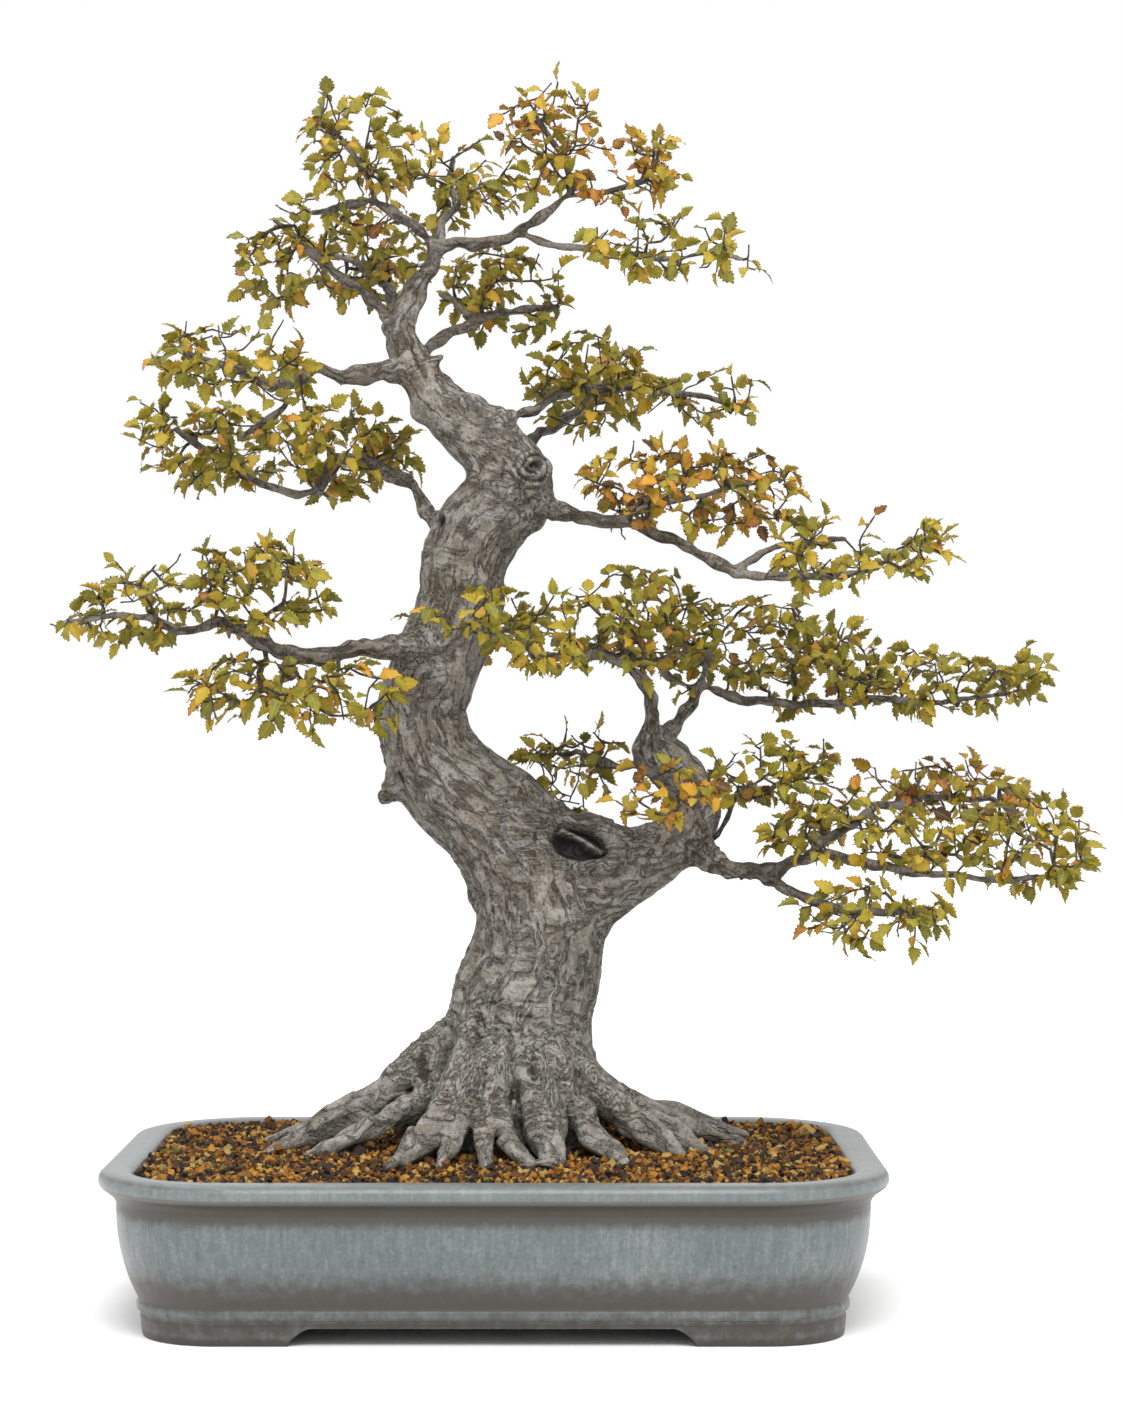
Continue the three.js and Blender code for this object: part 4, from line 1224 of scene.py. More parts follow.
@dataclass(frozen=True)
class FineRoots:
    """Roots that leave the trunk's flare low down and thread out over the soil.

    Attributes:
        soil: The soil that they dive into.
        count: How many there are.
        seed: Which growth this is.
    """

    soil: SoilBed
    count: int = 46
    seed: int = 17
    step: float = 4.5 * MM

    def routes(self, wood: Solid) -> Iterable[tuple[Array, Array]]:
        """Each root's middle line and its radius along it.

        Args:
            wood: The trunk and its main roots.

        Yields:
            The points and the radii.
        """
        draw = np.random.default_rng(self.seed)
        pot = self.soil.pot
        axis = wood.points[np.abs(wood.points[:, 2] - pot.height - 50 * MM) < 18 * MM].mean(0)
        for number in range(self.count):
            turn = 2 * math.pi * (number + draw.uniform(-0.35, 0.35)) / self.count
            out = np.array([math.cos(turn), math.sin(turn), 0])
            start = np.array([axis[0], axis[1], pot.height + draw.uniform(12, 70) * MM])
            hit, _, _, _ = wood.tree.ray_cast(Vector(start + out * 0.25), Vector(-out))
            if hit is None:
                continue
            route = self._run(wood, np.array(hit), out, draw)
            shares = np.linspace(0, 1, len(route))
            knots = 1 + 0.13 * np.sin(shares * draw.uniform(9, 22) + draw.uniform(0, 6))
            radii = draw.uniform(3.6, 6.8) * MM * (1 - 0.82 * shares**1.3) * knots
            yield route, radii

    def _run(self, wood: Solid, place_at: Array, out: Array, draw: Generator) -> Array:
        """One root's way down the flare and over the soil."""
        side = np.cross(out, (0, 0, 1))
        phase, sway = draw.uniform(0, 6), draw.uniform(0.15, 0.5)
        pot, route = self.soil.pot, [place_at]
        for i in range(int(draw.uniform(13, 27))):
            here = route[-1]
            ground = float(self.soil.surface(here[None])[0])
            dive = np.clip((here[2] - ground) / (16 * MM), -0.3, 1.5)
            heading = unit(out + side * math.sin(phase + i * 0.55) * sway - np.array([0, 0, dive]))
            after = here + heading * self.step
            nearest, normal, _, distance = wood.tree.find_nearest(Vector(after))
            if distance < 9 * MM:
                after = after * 0.45 + np.array(nearest - normal * 1.2 * MM) * 0.55
            after[2] = max(after[2], ground - 1.6 * MM)
            offset = np.abs(after[:2] - (pot.centre.x, pot.centre.y))
            if offset[0] > pot.half_length - 46 * MM or offset[1] > pot.half_depth - 46 * MM:
                break
            route.append(after)
        return np.array(route)


@dataclass(frozen=True)
class Crook:
    """The small kinks of thin wood: the same for a limb's skin as for the twigs that start in it."""

    reach: float = 1.9 * MM
    grains: tuple = (Grain(15 * MM, 51), Grain(15 * MM, 52), Grain(15 * MM, 53))

    def at(self, points: Array, thick: Array) -> Array:
        """Where points of the drawn limbs lie once the wood has its kinks."""
        sway = np.stack([grain.at(points) for grain in self.grains], axis=1)
        return points + sway * (self.reach * (1 - smooth_step(10 * MM, 36 * MM, thick)))[:, None]


class SpaceField:
    """Numbers or vectors that are known near a surface, and can be read anywhere close to it."""

    def __init__(self, points: Array, values: Array, cell: float, spread: int = 5) -> None:
        """Args: where the values are known, the values, the cell's size and how far they are spread."""
        values = values.reshape(len(points), -1)
        self.cell = cell
        self.low = points.min(0) - cell * (spread + 2)
        shape = np.ceil((points.max(0) + cell * (spread + 2) - self.low) / cell).astype(int) + 1
        self.shape = shape
        index = np.ravel_multi_index(tuple(np.round((points - self.low) / cell).astype(int).T), shape)
        size = int(np.prod(shape))
        weight = np.bincount(index, minlength=size).astype(float)
        total = np.stack([np.bincount(index, column, size) for column in values.T], axis=1)
        weight = weight.reshape(shape)
        total = total.reshape(*shape, -1)
        known = weight > 0
        total[known] /= weight[known][:, None]
        for _ in range(spread):
            around = np.zeros_like(total)
            near = np.zeros(known.shape)
            for axis in range(3):
                for way in (1, -1):
                    around += np.roll(total * known[..., None], way, axis)
                    near += np.roll(known, way, axis)
            fresh = ~known & (near > 0)
            total[fresh] = around[fresh] / near[fresh][:, None]
            known |= fresh
        self.table = total.reshape(size, -1)

    def at(self, points: Array) -> Array:
        """The value near each point, blended between cells.

        Args:
            points: The places to read.

        Returns:
            One row to a point.
        """
        scaled = (points - self.low) / self.cell
        cell = np.clip(np.floor(scaled).astype(int), 0, self.shape - 2)
        part = np.clip(scaled - cell, 0, 1)
        total = np.zeros((len(points), self.table.shape[1]))
        for corner, weight in corner_weights(part):
            index = np.ravel_multi_index(tuple((cell + corner).T), self.shape)
            total += weight[:, None] * self.table[index]
        return total


@dataclass
class Wood:
    """The trunk, roots and limbs, grown together as one piece with bark.

    Attributes:
        pot: The pot, which the places of the scars are measured from.
        fine_roots: The small roots over the soil.
        voxel: The size of the finest surface detail.
        guide_voxel: The size of the coarse skin's faces, which the growth is worked out on.
        guide_growth: How far outside the wood the coarse skin lies.
        waist: How high the trunk's waist is above the pot's rim.
        flare_top: How high the root flare's calm bark reaches, and where it has faded out.
        limb_bark_from: Where thin wood starts to look like a limb and not a root, and where it has.
        scars: The marks on the trunk. In millimetres: across, height, wide and tall.
        spurs: The stumps and shoulders. In millimetres: across, height, run and rise, then radii, then sunk.
        crook: The kinks of the thin wood.
    """

    pot: Pot
    fine_roots: FineRoots
    voxel: float = 1.25 * MM
    guide_voxel: float = 4.5 * MM
    guide_growth: float = 2.5 * MM
    waist: float = 76 * MM
    flare_top: tuple = (0.14, 0.2)
    limb_bark_from: tuple = (0.17, 0.22)
    scars: tuple = tuple(
        Scar(kind, *(size * MM for size in sizes), *rest)
        for kind, sizes, *rest in (
            (Mark.RINGED, (20.5, 504, 19, 19)),
            (Mark.HOLE, (-34, 473.5, 13, 10)),
            (Mark.BURL, (-64, 312, 15, 16)),
            (Mark.BURL, (-15, 545, 17, 13)),
            (Mark.BURL, (-50, 537, 15, 18)),
            (Mark.BURL, (3, 530, 16, 12)),
            (Mark.BURL, (24, 472, 20, 14)),
            (Mark.HOLLOW, (51, 281, 25, 42), 116),
            (Mark.RINGED, (31, 200, 9, 8)),
            (Mark.DENT, (-12, 172, 15, 46), 8),
            (Mark.DENT, (-46, 150, 13, 34), -14),
            (Mark.DENT, (22, 148, 12, 34), 6),
            (Mark.BURL, (-30, 372, 20, 24)),
            (Mark.BURL, (-12, 436, 18, 16)),
            (Mark.RINGED, (-10, 250, 22, 26), 15, True),
            (Mark.RINGED, (-20, 430, 18, 18), 0, True),
            (Mark.BURL, (40, 210, 26, 20), 0, True),
        )
    )
    spurs: tuple = tuple(
        Spur(*(size * MM for size in sizes), tuple(radius * MM for radius in radii), sunk * MM)
        for sizes, radii, sunk in (
            ((-62, 104, 36, 8), (6, 9, 10), 24),
            ((32, 290, 54, -13), (9, 12, 10), 10),
            ((40, 268, 38, 4), (8, 11, 9), 8),
            ((-44, 566, 12, 7), (7, 5, 3.4), 5),
            ((-8, 535, 15, 5), (7, 6, 4), 6),
            ((-66, 305, -5, 5), (7, 6.5, 5), 3),
        )
    )
    crook: Crook = Crook()

    @property
    def nodes(self) -> list[str]:
        """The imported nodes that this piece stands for."""
        return ["trunk", "right_trunk", *sorted(name for name in NODES if name.startswith("limb_"))]

    def build(self) -> Object:
        """The wood's mesh, with its bark's relief kept for each vertex."""
        points, faces = self._gathered()
        guide = self._skin(points, faces, self.guide_voxel, self.guide_growth)
        flow, facing, girth, length = self._guides(*guide)
        points, quads = self._skin(points, faces, self.voxel, 0.3 * self.voxel)
        near = Neighbours(edges_of(quads), len(points))
        thick = girth.at(points)[:, 0]
        points = self._smoothed(points, quads, near, thick)
        slim = 0.17 * thick * (1 - smooth_step(9 * MM, 30 * MM, thick)) * (points[:, 2] > 0.13)
        points = self.crook.at(points - normals_of(points, quads) * slim[:, None], thick)
        LOG.info("wood skin: %d faces", len(quads))
        return self._with_bark(points, quads, near, thick, flow, facing, length)

    def _gathered(self) -> tuple[Array, Array]:
        """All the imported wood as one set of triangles."""
        points, faces, count = [], [], 0
        for name in self.nodes:
            some, corners = mesh_arrays(NODES[name])
            points.append(some)
            faces.append(corners + count)
            count += len(some)
        extra = Tubes(10)
        drawn = Solid(np.concatenate(points), np.concatenate(faces))
        for route, radii in self.fine_roots.routes(drawn):
            extra.add(route, radii)
        for spur in self.spurs:
            extra.add(*spur.route(drawn, self.pot))
        quads = np.concatenate(extra.quads)
        more = np.concatenate([quads[:, [0, 1, 2]], quads[:, [0, 2, 3]], *extra.triangles])
        return np.concatenate([*points, *extra.points]), np.concatenate([*faces, more + count])

    @staticmethod
    def _skin(points: Array, faces: Array, voxel: float, growth: float) -> tuple:
        """One skin over solids that nearly touch.

        Args:
            points: Their vertices.
            faces: Their triangles.
            voxel: The new mesh's edge length.
            growth: How far outside them the skin lies.

        Returns:
            The skin's points and quads.
        """
        spacing = openvdb.createLinearTransform(voxelSize=voxel)
        near = openvdb.FloatGrid.createLevelSetFromPolygons(
            points.astype(np.float32), triangles=faces.astype(np.uint32), transform=spacing, halfWidth=4.0)
        skin, quads = near.convertToQuads(growth)
        skin, quads = Wood._largest(skin.astype(float), quads.astype(np.int64))
        corners = skin[quads]
        flux = np.cross(corners[:, 2] - corners[:, 0], corners[:, 3] - corners[:, 1])
        if np.einsum("ij,ij->", corners.mean(1), flux) < 0:
            quads = quads[:, ::-1]
        return skin, quads

    @staticmethod
    def _largest(points: Array, quads: Array) -> tuple[Array, Array]:
        """The largest joined part of a mesh, without loose points.

        Args:
            points: The mesh's points.
            quads: Its faces.

        Returns:
            The part's points and quads.
        """
        label = np.arange(len(points))
        while True:
            least = label[quads].min(1)
            fresh = label.copy()
            for corner in range(4):
                np.minimum.at(fresh, quads[:, corner], least)
            fresh = fresh[fresh]
            if np.array_equal(fresh, label):
                break
            label = fresh
        kept = quads[label[quads[:, 0]] == np.bincount(label[quads[:, 0]]).argmax()]
        used, numbers = np.unique(kept, return_inverse=True)
        return points[used], numbers.reshape(kept.shape)

    def _guides(self, points: Array, quads: Array) -> tuple[SpaceField, ...]:
        """Which way the wood grows, which way it faces, how thick it is and how far along it lies.

        Args:
            points: A coarse skin's points.
            quads: Its faces.

        Returns:
            The fields of growth, facing, thickness and distance from the trunk's waist.
        """
        edges = edges_of(quads)
        across = np.concatenate([quads[:, [0, 2]], quads[:, [1, 3]]])
        reach = self._distances(points, np.concatenate([edges, across]))
        near = Neighbours(edges, len(points))
        for _ in range(60):
            reach = (reach + near.mean(reach)) / 2
        step = points[near.end] - points[near.start]
        rise = (reach[near.end] - reach[near.start]) / np.maximum((step**2).sum(1), 1e-12)
        slope = np.stack([np.bincount(near.start, rise * step[:, k], len(points)) for k in range(3)], 1)
        normals = normals_of(points, quads)
        slope -= normals * (slope * normals).sum(1, keepdims=True)
        solid = Solid(points, quads)
        thick = np.empty(len(points))
        for i, (point, normal) in enumerate(zip(points, normals)):
            inward = Vector(-normal)
            _, _, _, distance = solid.tree.ray_cast(Vector(point) + inward * 0.5 * MM, inward)
            thick[i] = max((distance or 0) - 2 * self.guide_growth, 2 * MM)
        for _ in range(6):
            thick = (thick + near.mean(thick)) / 2
        cell = self.guide_voxel
        return (SpaceField(points, unit(slope), cell), SpaceField(points, normals, cell),
                SpaceField(points, thick, cell), SpaceField(points, reach, cell))

    def _distances(self, points: Array, edges: Array) -> Array:
        """How far each point is from the trunk's waist, along the surface."""
        lengths = np.linalg.norm(points[edges[:, 0]] - points[edges[:, 1]], axis=1)
        links: list[list[tuple[int, float]]] = [[] for _ in points]
        for (a, b), length in zip(edges.tolist(), lengths.tolist()):
            links[a].append((b, length))
            links[b].append((a, length))
        reach = np.full(len(points), np.inf)
        level = self.pot.height + self.waist
        queue = [(0.0, int(i)) for i in np.flatnonzero(np.abs(points[:, 2] - level) < self.guide_voxel)]
        for _, i in queue:
            reach[i] = 0.0
        while queue:
            distance, i = heapq.heappop(queue)
            if distance > reach[i]:
                continue
            for j, length in links[i]:
                if distance + length < reach[j]:
                    reach[j] = distance + length
                    heapq.heappush(queue, (reach[j], j))
        return np.where(np.isfinite(reach), reach, 0)

    @staticmethod
    def _smoothed(points: Array, quads: Array, near: Neighbours, thick: Array) -> Array:
        """Rounds off the drawn facets and fills the crotches between stems.

        Args:
            points: The skin's points.
            quads: Its faces.
            near: Its neighbours.
            thick: How thick the wood is at each point.

        Returns:
            The smoothed points.
        """
        for _ in range(30):
            points = points + 0.5 * (near.mean(points) - points)
            points = points - 0.53 * (near.mean(points) - points)
        above_roots = 0.15 + 0.85 * smooth_step(0.125, 0.19, points[:, 2])
        broad = (smooth_step(14 * MM, 50 * MM, thick) * above_roots)[:, None]
        for _ in range(110):
            points = points + 0.5 * broad * (near.mean(points) - points)
        for turn in range(30):
            if turn % 8 == 0:
                normals = normals_of(points, quads)
            pull = near.mean(points) - points
            outward = (pull * normals).sum(1, keepdims=True)
            points = points + 0.5 * pull * (outward > 0)
        return points

    def _combed(self, points: Array, flow: SpaceField, facing: SpaceField | None, grain: Grain,
                steps: int, stride: float) -> Array:
        """A random pattern drawn out along the wood's growth, or across it.

        Args:
            points: Where it is wanted.
            flow: Which way the wood grows.
            facing: Which way it faces, to draw the pattern across the growth.
            grain: The pattern before it is drawn out.
            steps: How many steps it is drawn out each way.
            stride: One step's length.

        Returns:
            The pattern at each point, about 0.
        """
        total = grain.at(points)
        for way in (1, -1):
            here, before = points.copy(), None
            for _ in range(steps):
                heading = unit(flow.at(here))
                if facing is not None:
                    heading = unit(np.cross(heading, facing.at(here)))
                if before is not None:
                    heading *= np.sign((heading * before).sum(1, keepdims=True) + 1e-9)
                before = heading
                here = here + heading * stride * way
                total += grain.at(here)
        return total / math.sqrt(2 * steps + 1)

    def _with_bark(self, points: Array, quads: Array, near: Neighbours, thick: Array,
                   flow: SpaceField, facing: SpaceField, length: SpaceField) -> Object:
        """Gives the smooth wood its bark.

        Args:
            points: The smooth skin's points.
            quads: Its faces.
            near: Its neighbours.
            thick: How thick the wood is at each point.
            flow: Which way the wood grows.
            facing: Which way it faces.
            length: How far it lies from the trunk's waist.

        Returns:
            The finished object.
        """
        normals = normals_of(points, quads)
        stout = smooth_step(5 * MM, 60 * MM, thick)
        slim = smooth_step(2 * MM, 16 * MM, thick)
        seams = self._combed(points, flow, None, Grain(2.9 * MM, 31), 5, 2.6 * MM)
        cords = self._combed(points, flow, None, Grain(13 * MM, 32), 7, 9 * MM)
        folds = self._combed(points, flow, facing, Grain(2.9 * MM, 33), 4, 2.4 * MM)
        lumps, knots = Grain(26 * MM, 34).at(points), Grain(13 * MM, 39).at(points)
        bumps, pits = Grain(7 * MM, 35).at(points), Grain(3.2 * MM, 36).at(points)
        flare = 1 - smooth_step(*self.flare_top, points[:, 2])
        calm = 1 - 0.6 * flare
        folded = smooth_step(-0.1, 0.45, Grain(38 * MM, 37).at(points) + flare * 0.55)
        split = smooth_step(0.65, 1.2, seams) * smooth_step(-0.15, 0.4, Grain(26 * MM, 38).at(points))
        wrinkle = -np.abs(folds) * folded
        knuckles = np.minimum(0.24 * thick, 2.6 * MM) * Grain(8 * MM, 40).at(points)
        knuckles = knuckles * calm * (1 - 0.85 * stout)
        relief = (stout * (1.2 * lumps + 2.1 * cords + 0.4 * knots) * calm
                  + slim * (0.35 * bumps + 0.18 * pits) * calm
                  + slim * 0.2 * seams + stout * (0.5 * wrinkle + 0.35 * bumps * calm)
                  - (0.3 + 1.2 * stout) * split * calm) * MM + knuckles
        hollow = np.zeros(len(points))
        moved = points + normals * relief[:, None]
        solid = Solid(points, quads)
        for scar in self.scars:
            self._cut_scar(scar, solid, points, normals, moved, hollow)
        fresh = normals_of(moved, quads)
        pull = near.mean(moved) - moved
        for _ in range(2):
            pull = (pull + near.mean(pull)) / 2
        cupped = (pull * fresh).sum(1) / (0.15 * MM)
        wide = moved
        for _ in range(30):
            wide = near.mean(wide)
        gully = ((wide - moved) * fresh).sum(1) / MM
        piece = make_piece("trunk_and_limbs", moved, [quads])
        # The mask of painted shade: where the bark cups, in its wrinkles and in the gullies between roots,
        # with the dark of its splits.
        crease_shade = np.clip(0.7 * smooth_step(0.3, 1.5, cupped) * calm + 0.7 * split * calm
                         + 0.3 * smooth_step(0.6, 1.3, -wrinkle)
                         + (0.15 + 0.85 * flare) * smooth_step(0.4, 1.6, gully), 0, 1)
        store(piece, "crease_shade", crease_shade)
        # Paler where the bark bulges and less so where it cups: painted highlight and painted shade, read by
        # the bark's pale colour.
        store(piece, "relief", np.clip(0.5 + 0.3 * bumps + 0.3 * pits - 0.22 * cupped, 0, 1))
        thin = 1 - smooth_step(6 * MM, 28 * MM, thick)
        store(piece, "slim", thin * smooth_step(*self.limb_bark_from, points[:, 2]))
        smooth = thick.copy()
        for _ in range(60):
            smooth = near.mean(smooth)
        store(piece, "around", unit(facing.at(points)) * smooth[:, None] / 2)
        store(piece, "along", length.at(points)[:, 0])
        # The painted shade of the scars' holes and hollows.
        store(piece, "hollow", np.clip(hollow, 0, 1))
        return piece

    def _cut_scar(self, scar: Scar, solid: Solid, points: Array, normals: Array,
                  moved: Array, hollow: Array) -> None:
        """Shapes one scar.

        Args:
            scar: The scar.
            solid: The smooth wood.
            points: Its points.
            normals: Its normals.
            moved: The points with their bark, which this changes.
            hollow: How much painted shade each point has, which this changes.
        """
        side = 1 if scar.back else -1
        x = self.pot.centre.x + scar.across
        start = Vector((x, self.pot.centre.y + side * 0.4, scar.height))
        hit, facing, _, _ = solid.tree.ray_cast(start, Vector((0, -side, 0)))
        if hit is None:
            hit, facing, _, _ = solid.tree.find_nearest(Vector((x, self.pot.centre.y, scar.height)))
        offset = points - np.array(hit)
        close = (np.linalg.norm(offset, axis=1) < 1.6 * max(scar.wide, scar.tall))
        close &= (normals @ np.array(facing)) > -0.1
        lean = math.radians(scar.lean)
        across, up = offset[close, 0], offset[close, 2]
        u = (across * math.cos(lean) - up * math.sin(lean)) / (scar.wide / 2)
        v = (across * math.sin(lean) + up * math.cos(lean)) / (scar.tall / 2)
        if abs(facing.y) < 0.6:
            u = np.hypot(across, offset[close, 1]) / (scar.wide / 2)
            v = up / (scar.tall / 2)
        ragged = 1 + 0.16 * Grain(6 * MM, 41).at(points[close])
        out = np.hypot(u, v) * ragged
        lift, dark = scar.shape(u, v, out)
        moved[close] += normals[close] * (min(scar.wide, scar.tall) * lift)[:, None]
        hollow[close] = np.maximum(hollow[close], dark)


# ---------------------------------------------------------------- foliage
@dataclass(frozen=True)
class Blade:
    """One shape of leaf: pointed, toothed and a little bent.

    Attributes:
        width: Its width as a share of its length.
        droop: How far its tip bends down, as a share of its length.
        fold: How far its halves lift from the midrib.
        wave: How much its edge waves.
        stations: How many steps it has from stalk to tip.
    """

    width: float
    droop: float
    fold: float
    wave: float
    stations: int = 13

    def mesh(self) -> tuple[Array, Array, Array]:
        """The blade at length 1 along +Y, facing +Z.

        Returns:
            Its points, its triangles, and each point's place across, along and side.
        """
        n = self.stations
        along = np.linspace(0, 1, n)
        half = self.width / 2 * np.sin(math.pi * along**0.7) ** 0.8 * (1 - 0.1 * along)
        tip = smooth_step(0.75, 1.0, along)
        half = half * (1 - 0.3 * tip)
        half[0], half[-1] = 0.012, 0.004
        tooth = np.arange(n) % 2 == 1
        notch = np.where(tooth, 1.04, 0.78)
        notch[[0, -1]] = 1
        ahead = np.where(tooth, 0.035, -0.012)
        columns = np.array([-1, -0.55, 0, 0.55, 1.0])
        points, marks = [], []
        for side, shown in ((1, columns), (-1, columns[1:-1])):
            for column in shown:
                rim = abs(column) == 1
                x = column * half * (notch if rim else 1)
                y = along + (ahead if rim else 0)
                lift = self.fold * np.abs(x) * 1.4 - self.droop * along**2
                lift = lift + self.wave * 0.05 * np.sin(along * 15 + column * 2) * np.abs(column)
                body = 0.008 * (1 - abs(column) ** 2) * side
                z = lift + body * np.sin(math.pi * np.clip(along, 0.04, 0.97)) ** 0.4
                points.append(np.column_stack([x, y, z]))
                marks.append(np.column_stack([np.full(n, column), along, np.full(n, 0 if rim else side)]))
        top = [0, 1, 2, 3, 4]
        bottom = [0, 5, 6, 7, 4]
        triangles = []
        for rows, flip in ((top, False), (bottom, True)):
            for left, right in zip(rows[:-1], rows[1:]):
                for i in range(n - 1):
                    a, b = left * n + i, right * n + i
                    pair = [[a, b, b + 1], [a, b + 1, a + 1]]
                    triangles += [face[::-1] for face in pair] if flip else pair
        points, triangles = np.concatenate(points), np.array(triangles)
        marks = np.concatenate(marks)
        return self._with_closed_ends(points, triangles, marks, n)

    @staticmethod
    def _with_closed_ends(points: Array, triangles: Array, marks: Array, n: int) -> tuple:
        """Closes the narrow ends between the blade's two faces."""
        ends = []
        for i, flip in ((0, False), (n - 1, True)):
            loop = [row * n + i for row in (0, 1, 2, 3, 4, 7, 6, 5)]
            fan = [[loop[0], loop[k + 1], loop[k]] for k in range(1, 7)]
            ends += [face[::-1] for face in fan] if flip else fan
        return points, np.concatenate([triangles, np.array(ends)]), marks


@dataclass
class Leaves:
    """The leaves of one cloud, gathered into one mesh."""

    blades: list = field(default_factory=lambda: [
        Blade(0.78, 0.14, 0.22, 0.6), Blade(0.84, 0.3, 0.1, 1.0), Blade(0.72, 0.42, 0.3, 0.6),
        Blade(0.86, 0.08, 0.16, 0.9), Blade(0.76, 0.22, 0.45, 0.8), Blade(0.8, 0.5, 0.12, 1.2),
        Blade(0.82, -0.12, 0.3, 1.0), Blade(0.7, 0.3, 0.7, 0.6),
    ])
    points: list = field(default_factory=list)
    faces: list = field(default_factory=list)
    marks: list = field(default_factory=list)
    age: list = field(default_factory=list)
    count: int = 0

    def __post_init__(self) -> None:
        self.shapes = [blade.mesh() for blade in self.blades]

    def add(self, which: int, base: Array, heading: Array, facing: Array,
            length: float, age: float) -> None:
        """Adds one leaf.

        Args:
            which: Which blade it has.
            base: Where the blade starts.
            heading: Which way it points.
            facing: Roughly which way its face looks.
            length: The blade's length.
            age: How far its autumn has come, from 0 to 1.
        """
        points, faces, marks = self.shapes[which % len(self.shapes)]
        across = unit(np.cross(heading, facing))
        up = np.cross(across, heading)
        axes = np.stack([across, heading, up])
        self.points.append(base + points @ axes * length)
        self.faces.append(faces + self.count)
        self.marks.append(marks)
        self.age.append(np.full(len(points), age))
        self.count += len(points)

    def piece(self, name: str) -> Object:
        """All the leaves as one object, with what their finish reads."""
        piece = make_piece(name, np.concatenate(self.points), [np.concatenate(self.faces)])
        marks = np.concatenate(self.marks)
        store(piece, "blade_across", marks[:, 0])
        store(piece, "blade_along", marks[:, 1])
        store(piece, "blade_side", marks[:, 2])
        store(piece, "autumn", np.concatenate(self.age))
        return piece


class Shoots:
    """Twigs that grow from the limbs towards places where leaves are wanted."""

    def __init__(self, roots: Array, radii: Array, draw: Generator) -> None:
        """Args: points in the limbs and their radii, where twigs may start, and the random numbers."""
        self.places = [np.array(root) for root in roots]
        self.parents = [-1] * len(roots)
        self.limb_radii = radii
        self.rooted = len(roots)
        self.draw = draw
        self.tips: list[int] = []

    def reach(self, target: Array, step: float) -> None:
        """Grows a twig from the nearest wood to a target.

        Args:
            target: The twig's end.
            step: The length between its points.
        """
        table = np.array(self.places)
        gap = np.linalg.norm(table - target, axis=1)
        gap[: self.rooted] += 4 * MM
        parent = int(np.argmin(gap))
        start = self.places[parent]
        span = target - start
        length = float(np.linalg.norm(span))
        count = max(2, int(round(length / step)))
        sideways = unit(np.cross(span, self.draw.normal(size=3)))
        bow = sideways * length * self.draw.uniform(0.06, 0.2) + np.array([0, 0, -0.07 * length])
        for i in range(1, count + 1):
            share = i / count
            zigzag = sideways * (0.8 * MM if i % 2 else -0.8 * MM)
            point = start + span * share + bow * math.sin(math.pi * share) + zigzag * (i < count)
            self.places.append(point)
            self.parents.append(parent)
            parent = len(self.places) - 1
        self.tips.append(parent)

    def radii(self, tip: float, limit: float) -> Array:
        """Each point's radius, from what it carries.

        Args:
            tip: The radius of a twig's end.
            limit: The largest radius.

        Returns:
            One radius to a point.
        """
        power = 2.5
        load = np.zeros(len(self.places))
        for i in range(len(self.places) - 1, self.rooted - 1, -1):
            load[i] = max(load[i], tip**power)
            parent = self.parents[i]
            if parent >= self.rooted:
                load[parent] += load[i]
        return np.minimum(load ** (1 / power), limit)

    def chains(self) -> Iterable[list[int]]:
        """Each twig as its points' numbers, from where it forks off to its tip."""
        taken = set()
        for tip in self.tips:
            chain = [tip]
            while chain[-1] not in taken and self.parents[chain[-1]] >= 0:
                taken.add(chain[-1])
                chain.append(self.parents[chain[-1]])
            yield chain[::-1]


